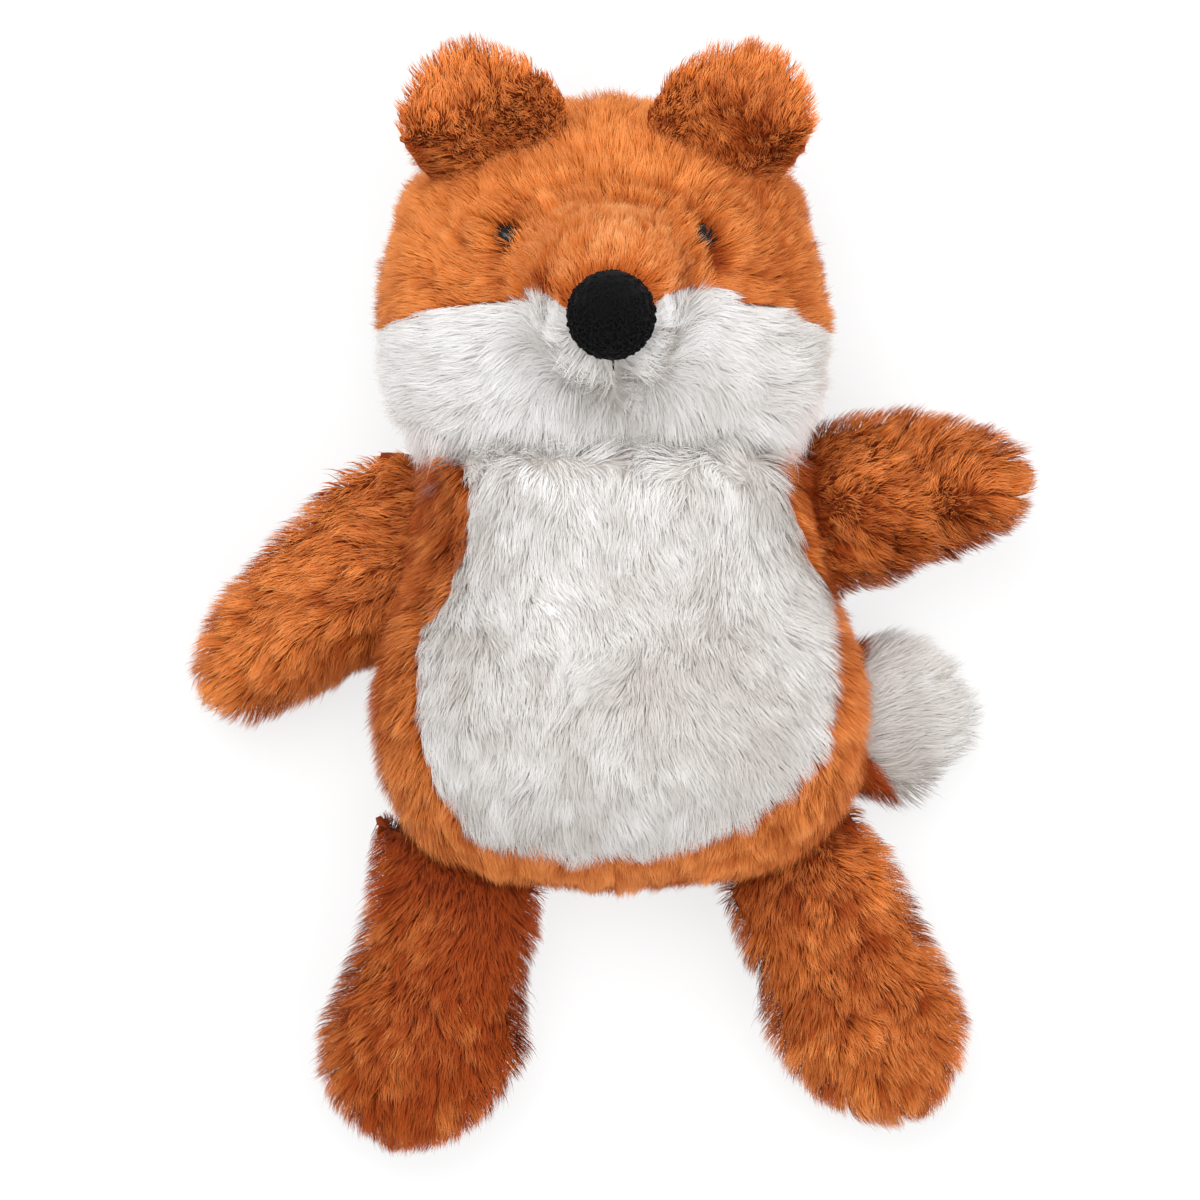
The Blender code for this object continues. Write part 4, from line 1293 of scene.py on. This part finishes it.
@dataclass
class Nose(Coat):
    """The nose: a ball of black looped yarn."""

    loop: float = 1.5 * MM
    yarn: float = 0.5 * MM
    spacing: float = 1.5  # the area that a loop has, as a share of its length times its yarn
    tilt: float = 0.08  # how far loops lean from the ball's way out
    widths: Pair = (0.6, 1.3)
    height: float = 0.38  # of a loop, as a share of its length
    heights: Pair = (0.4, 1.5)
    slump: float = 0.35
    sunk: float = 0.98  # where loops start, as a share of the ball's radius
    rings: int = 7
    sides: int = 5

    def build(self) -> None:
        """Gives the ball its loops, spread on a golden spiral."""
        low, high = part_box("nose")
        self.centre = np.array((low + high) / 2)
        self.radius = (high.x - low.x) / 2
        self.refinished("nose", self.palette.yarn)
        rng = np.random.default_rng(SEED + 1)
        count = int(4 * math.pi * self.radius**2 / (self.loop * self.yarn * self.spacing))
        i = np.arange(count) + 0.5
        polar = np.arccos(1 - 2 * i / count)
        round_ = math.pi * (1 + math.sqrt(5)) * i
        out = np.column_stack(
            (np.sin(polar) * np.cos(round_), np.sin(polar) * np.sin(round_), np.cos(polar))
        )
        out = unit(out + rng.normal(0, self.tilt, out.shape))
        points, quads = self.loops(out, rng)
        surface = Surface(points, quads.ravel(), np.full(len(quads), 4))
        piece = surface.object("nose_loops", self.palette.yarn)
        self.set_down(piece, "head", "black_knitted_yarn")

    def loops(self, out: Array, rng: Random) -> tuple[Array, Array]:
        """Bends a short tube of yarn out of the ball and back at each place.

        Args:
            out: the ways out of the ball.
            rng: random numbers for how each loop turns.

        Returns:
            The points and the quads of all loops.
        """
        count = len(out)
        side = unit(np.cross(out, rng.normal(size=out.shape)))
        up = np.cross(side, out)
        angles = np.linspace(0, math.pi, self.rings)
        wide = self.loop / 2 * rng.uniform(*self.widths, count)
        high = self.loop * self.height * rng.uniform(*self.heights, count)
        base = self.centre + out * self.radius * self.sunk
        lean = up * (rng.normal(0, self.slump, count) * high)[:, None]
        along = -np.cos(angles)[None, :, None] * wide[:, None, None] * side[:, None, :]
        rise = np.sin(angles)[None, :, None] * (high[:, None] * out + lean)[:, None, :]
        middle = base[:, None, :] + along + rise
        ways = unit(np.gradient(middle, axis=1))
        first = np.broadcast_to(up[:, None, :], ways.shape)
        return tube(middle, first, np.cross(ways, first), self.yarn / 2, self.sides)


@dataclass
class Eyes(Coat):
    """The bead eyes and their washers, which keep their solids' shape."""

    def build(self) -> None:
        """Gives the beads and the washers their finish."""
        for side in ("left", "right"):
            self.refinished(f"eye_{side}", self.palette.bead)
            self.refinished(f"eye_washer_{side}", self.palette.washer)
            LOG.info("eye_%s and its washer finished", side)


@dataclass
class Limb(Coat):
    """A limb, here a leg: one stuffed form whose pile runs to its tip."""

    name: str
    seed: int
    swells: tuple[Swell, ...] = ()
    shades: tuple[Shade, ...] = ()
    hair: Hair = Hair()
    # Painted shade beside the seam
    shade: float = 0.15
    parent: str = "torso"
    parts: tuple[str, ...] = ("front_panel", "back_panel", "stuffing")
    depth: float = 4.4 * MM
    voxel: float = 2.0 * MM
    smoothing: int = 3
    root_reach: float = 22.0 * MM
    root_fill: float = 0.8
    root_sink: float = 8.0 * MM
    root_drop: float = 0.0
    bend_starts: float = 3.0 * MM
    bend_reach: float = 12.0 * MM
    crease: float = 9.0 * MM
    caught: float = 0.8  # the pile's length at the seam, as a share

    @property
    def names(self) -> tuple[str, ...]:
        """The limb's nodes."""
        return tuple(f"{self.name}_{part}" for part in self.parts)

    def from_seam(self, place: Array) -> Array:
        """Gives how far out from the seam each place is."""
        return dots(place - self.seam, self.outward)[:, 0]

    def set_in(self, form: Form) -> None:
        """Fills out the pinched root and sinks it into the body, so that only a crease shows."""
        share = near(self.from_seam(form.points), self.root_reach)
        form.points[:, 2] += (form.points[:, 2] - self.seam[2]) * self.root_fill * share
        form.points[:, 2] -= self.root_drop * share
        form.points -= self.outward * self.root_sink * share[:, None] ** 2
        form.shrink(self.depth)

    def bends(self, piece: bpy.types.Object, slot: str) -> None:
        """Bakes a piece's transform into its points."""
        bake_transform(piece)
        LOG.info("%s bends at %s, %d faces", piece.name, self.name, len(piece.data.polygons))

    def in_crease(self, place: Array) -> Array:
        """Tells how much darker the pile is painted beside the seam and in the shades: painted
        shade.
        """
        return self.shade * near(self.from_seam(place), self.crease) + shaded(place, self.shades)

    def near_seam(self, place: Array) -> Array:
        """Shortens the pile where it was caught in the seam."""
        return self.caught + (1 - self.caught) * eased(self.from_seam(place) / self.crease)

    def build(self) -> None:
        """Builds the limb's cloth and its pile."""
        self.seam, axis = self.seam_of(self.name)
        form = Form(self.solids(*self.names), self.voxel, self.smoothing)
        away = form.points - self.seam
        self.way = unit(away[np.argmax(np.linalg.norm(away, axis=1))])
        across = np.cross(UP, axis)
        self.outward = across * np.sign(across @ self.way)
        form.swell(self.swells)
        self.set_in(form)
        cloth = self.cloth(form)
        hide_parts(*self.names)
        self.bends(cloth, "orange_plush")
        readings = (self.near_seam, self.in_crease)
        for i, (part, slot, finish, keep) in enumerate(self.coats()):
            seed = self.seed + 5 * i
            pile = Pile(form, self.hair, Flow.ALONG, self.way, keep, seed, *readings)
            self.bends(pile.grow(part, finish), slot)

    def cloth(self, form: Form) -> bpy.types.Object:
        """Makes the cloth's object."""
        return form.object(f"{self.name}_cloth", self.palette.orange)

    def coats(self) -> list[tuple]:
        """Lists each pile's name, slot, finish and place."""
        orange = self.palette.orange
        return [(f"{self.name}_pile", "orange_plush", orange, lambda p, _: np.ones(len(p), bool))]


@dataclass
class Arm(Limb):
    """An arm, whose root is sunk deep into the flank."""

    root_reach: float = 26.0 * MM
    root_fill: float = 0.9
    root_sink: float = 15.0 * MM


@dataclass
class Ear(Limb):
    """An ear: two thin panels without filling, set down into the crown."""

    hair: Hair = Hair(
        length=5.6 * MM, lift_deg=48, width=0.14 * MM, per_mm2=6.5, tuft=2.4 * MM, tone=0.8
    )
    parent: str = "head"
    parts: tuple[str, ...] = ("front_panel", "back_panel")
    depth: float = 2.2 * MM
    voxel: float = 1.4 * MM
    root_reach: float = 15.0 * MM
    root_fill: float = 0.0
    root_sink: float = 5.0 * MM
    root_drop: float = 8.0 * MM
    bend_reach: float = 7.0 * MM


@dataclass
class Tail(Limb):
    """The stub of a tail, white but for its root."""

    swells: tuple[Swell, ...] = swells_from(
        (910, 645, 11, 0, 3.5, 1.0), (905, 785, 11, 0, -3.0, 1.0)
    )
    # Painted shade at the tail's root, beside the body
    shades: tuple[Shade, ...] = shades_from(
        (880, 700, 10, 0.25), (880, 760, 9, 0.6), (908, 785, 8, 0.5)
    )
    hair: Hair = Hair(length=9 * MM, lift_deg=44, tone=0.5, streaks=0.12, mixed=0.06)
    parts: tuple[str, ...] = ("root_panel", "tip_panel", "stuffing")
    depth: float = 5.0 * MM
    root_reach: float = 20.0 * MM
    root_fill: float = 1.2
    root_sink: float = 16.0 * MM
    root_drop: float = -3.0 * MM
    # Where the orange of the root ends, seen from above
    root_px: Pixels = (
        (868, 620), (872, 655), (858, 680), (858, 740), (884, 768), (900, 800), (900, 830)
    )

    def on_root(self, place: Array, _: Array) -> Array:
        """Tells which places are orange: those at the body, and more of them underneath."""
        line = in_plan(self.root_px)[::-1]
        seen = place[:, 0] < np.interp(place[:, 1], line[:, 1], line[:, 0])
        low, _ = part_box("tail_tip_panel")
        return seen | ((place[:, 0] < low.x) & (place[:, 2] < self.seam[2] / 2))

    def cloth(self, form: Form) -> bpy.types.Object:
        """Makes the cloth's object, orange at its root."""
        return form.object("tail_cloth", self.palette.white, self.palette.orange, self.on_root)

    def coats(self) -> list[tuple]:
        """Splits the pile into the orange root and the white rest."""
        orange, white = self.palette.orange, self.palette.white
        return [
            ("tail_root_pile", "orange_plush", orange, self.on_root),
            ("tail_tip_pile", "white_plush", white, lambda place, out: ~self.on_root(place, out)),
        ]


@dataclass
class Studio:
    """A plain pale floor, soft lamps and a camera high above."""

    height: float = 6.0
    frame_width: float = 0.3
    middle_height: float = 0.045
    middle_px: Pair = (600.0, 600.0)
    sensor_mm: float = 36.0
    lamp_size: float = 1.2
    lamps_face: Pair = (0.0, 0.02)
    floor_reach: float = 4.0
    floor_glow: float = 0.75  # how much of what is seen of the floor is its own light
    room_light: float = 0.92

    def build(self) -> None:
        """Sets the camera, the floor, the lamps and the world."""
        self.camera()
        self.floor()
        self.lamp("key_lamp", (-0.3, 0.7, 1.65), 21.0)
        self.lamp("fill_lamp", (0.9, -0.3, 1.3), 9.0)
        self.world()
        bpy.context.scene.view_settings.view_transform = "Standard"

    def camera(self) -> None:
        """Looks straight down on the fox."""
        data = bpy.data.cameras.new("camera")
        data.sensor_width = self.sensor_mm
        data.lens = self.sensor_mm * self.height / self.frame_width
        data.clip_end = 3 * self.height
        made = linked("camera", data)
        x, y = in_plan((self.middle_px,))[0]
        made.location = (x, y, self.middle_height + self.height)
        bpy.context.scene.camera = made

    def lamp(self, name: str, place: Triple, power: float) -> None:
        """Hangs a soft square lamp that faces the fox."""
        data = bpy.data.lights.new(name, "AREA")
        data.size = self.lamp_size
        data.energy = power
        made = linked(name, data)
        made.location = place
        way = Vector((*self.lamps_face, self.middle_height)) - made.location
        made.rotation_euler = way.to_track_quat("-Z", "Y").to_euler()

    def floor(self) -> None:
        """Lays the floor, which shows almost white and still takes a soft shadow."""
        corners = ((-1, -1, 0), (1, -1, 0), (1, 1, 0), (-1, 1, 0))
        points = np.array(corners, float) * self.floor_reach
        paper = {"Base Color": linear("#EFEFEF"), "Roughness": 0.9}
        finish, tree, shader = blank("floor_paper", paper)
        made = Surface(points, np.arange(4), np.array((4,))).object("floor", finish)
        glow = node(tree, "ShaderNodeEmission", None, {"Color": (1, 1, 1, 1), "Strength": 1.0})
        ray = node(tree, "ShaderNodeLightPath").outputs
        seen = ray["Is Glossy Ray"]
        for other in ("Is Transmission Ray", "Is Camera Ray"):
            either = {0: seen, 1: ray[other]}
            seen = node(tree, "ShaderNodeMath", {"operation": "MAXIMUM"}, either).outputs[0]
        share = {0: seen, 1: self.floor_glow}
        share = node(tree, "ShaderNodeMath", {"operation": "MULTIPLY"}, share)
        both = {0: share.outputs[0], 1: shader.outputs[0], 2: glow.outputs[0]}
        mixed = node(tree, "ShaderNodeMixShader", None, both)
        tree.links.new(mixed.outputs[0], tree.nodes["Material Output"].inputs[0])

    def world(self) -> None:
        """Fills the room with even light, white where it is seen."""
        made = bpy.data.worlds.new("room")
        made.use_nodes = True
        tree = made.node_tree
        background = tree.nodes["Background"]
        ray = node(tree, "ShaderNodeLightPath")
        level = {"Value": ray.outputs["Is Camera Ray"], "To Min": self.room_light, "To Max": 1.0}
        share = node(tree, "ShaderNodeMapRange", None, level)
        background.inputs["Color"].default_value = (1, 1, 1, 1)
        tree.links.new(share.outputs[0], background.inputs["Strength"])
        bpy.context.scene.world = made


def limbs(shared: tuple) -> tuple[Limb, ...]:
    """Lists the limbs, with what the photograph shows of each.

    Args:
        shared: what all coated forms share.

    Returns:
        The arms, the legs, the ears and the tail.
    """
    # Each limb's tone holds painted light and shade besides the plush's colour, and its shades are
    # painted shade
    return (
        Arm(
            *shared, "arm_left", 60,
            swells_from(
                (850, 430, 24, 0, 2.0, 0),
                (812, 440, 10, 0, 3.5, 0),
                (885, 410, 14, 0, 3.0, 0),
                (975, 570, 17, 0, 4.5, 0),
                (1020, 500, 15, -3.5, 0, 0),
            ),
            shades_from(
                (870, 560, 14, 0.3), (960, 520, 10, 0.2), (812, 510, 9, 0.4), (798, 465, 8, 0.35)
            ),
            Hair(tone=0.66),
        ),
        Arm(
            *shared, "arm_right", 70,
            swells_from(
                (250, 690, 20, 0.5, -3.0, 0),
                (388, 462, 14, 0, 9.5, 0),
                (232, 545, 20, 4.6, -4.6, 0),
                (300, 495, 12, 0.8, -1.6, 0),
            ),
            shades_from((400, 620, 12, 0.3), (300, 680, 12, 0.15)),
            Hair(tone=0.74),
        ),
        Limb(
            *shared, "leg_left", 80,
            swells_from(
                (872, 800, 11, 0, 4.0, 0),
                (945, 980, 26, -4.2, 0, 0),
                (765, 1045, 11, -3.0, 0, 0),
            ),
            shades_from((740, 1000, 14, 0.15)),
            Hair(tone=0.45),
        ),
        Limb(
            *shared, "leg_right", 90,
            swells_from(
                (520, 930, 18, 2.5, 0, 0),
                (528, 1035, 12, 3.2, 0, 0),
                (374, 828, 12, -6.5, 2.5, 0),
                (345, 930, 20, 5.0, 0, 0),
            ),
            shades_from((500, 960, 17, 0.35), (470, 1060, 12, 0.2)),
            Hair(tone=0.2),
            shade=0.4,
        ),
        Ear(
            *shared, "ear_left", 110,
            swells_from((680, 90, 14, -4.5, 1.0, 0), (802, 184, 8, -2.5, 2.5, -6.0)),
            shades_from((745, 140, 11, 0.4)),
        ),
        Ear(
            *shared, "ear_right", 120,
            swells_from(
                (550, 90, 14, 6.5, 1.0, 0),
                (412, 55, 10, 3.0, 1.0, 0),
                (414, 186, 8, 2.5, 2.5, -6.0),
            ),
            shades_from((490, 155, 10, 0.3)),
        ),
        Tail(*shared, "tail", 140),
    )


def main() -> None:
    """Builds the fox round its frame."""
    logging.basicConfig(level=logging.INFO, format="%(message)s")
    for item in list(bpy.data.objects):
        bpy.data.objects.remove(item)
    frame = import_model()
    shared = (frame["nodes"], frame["joints"], Palette())
    Studio().build()
    for made in (Torso, Head, Nose, Eyes):
        made(*shared).build()
    for limb in limbs(shared):
        limb.build()


if __name__ == "__main__":
    main()
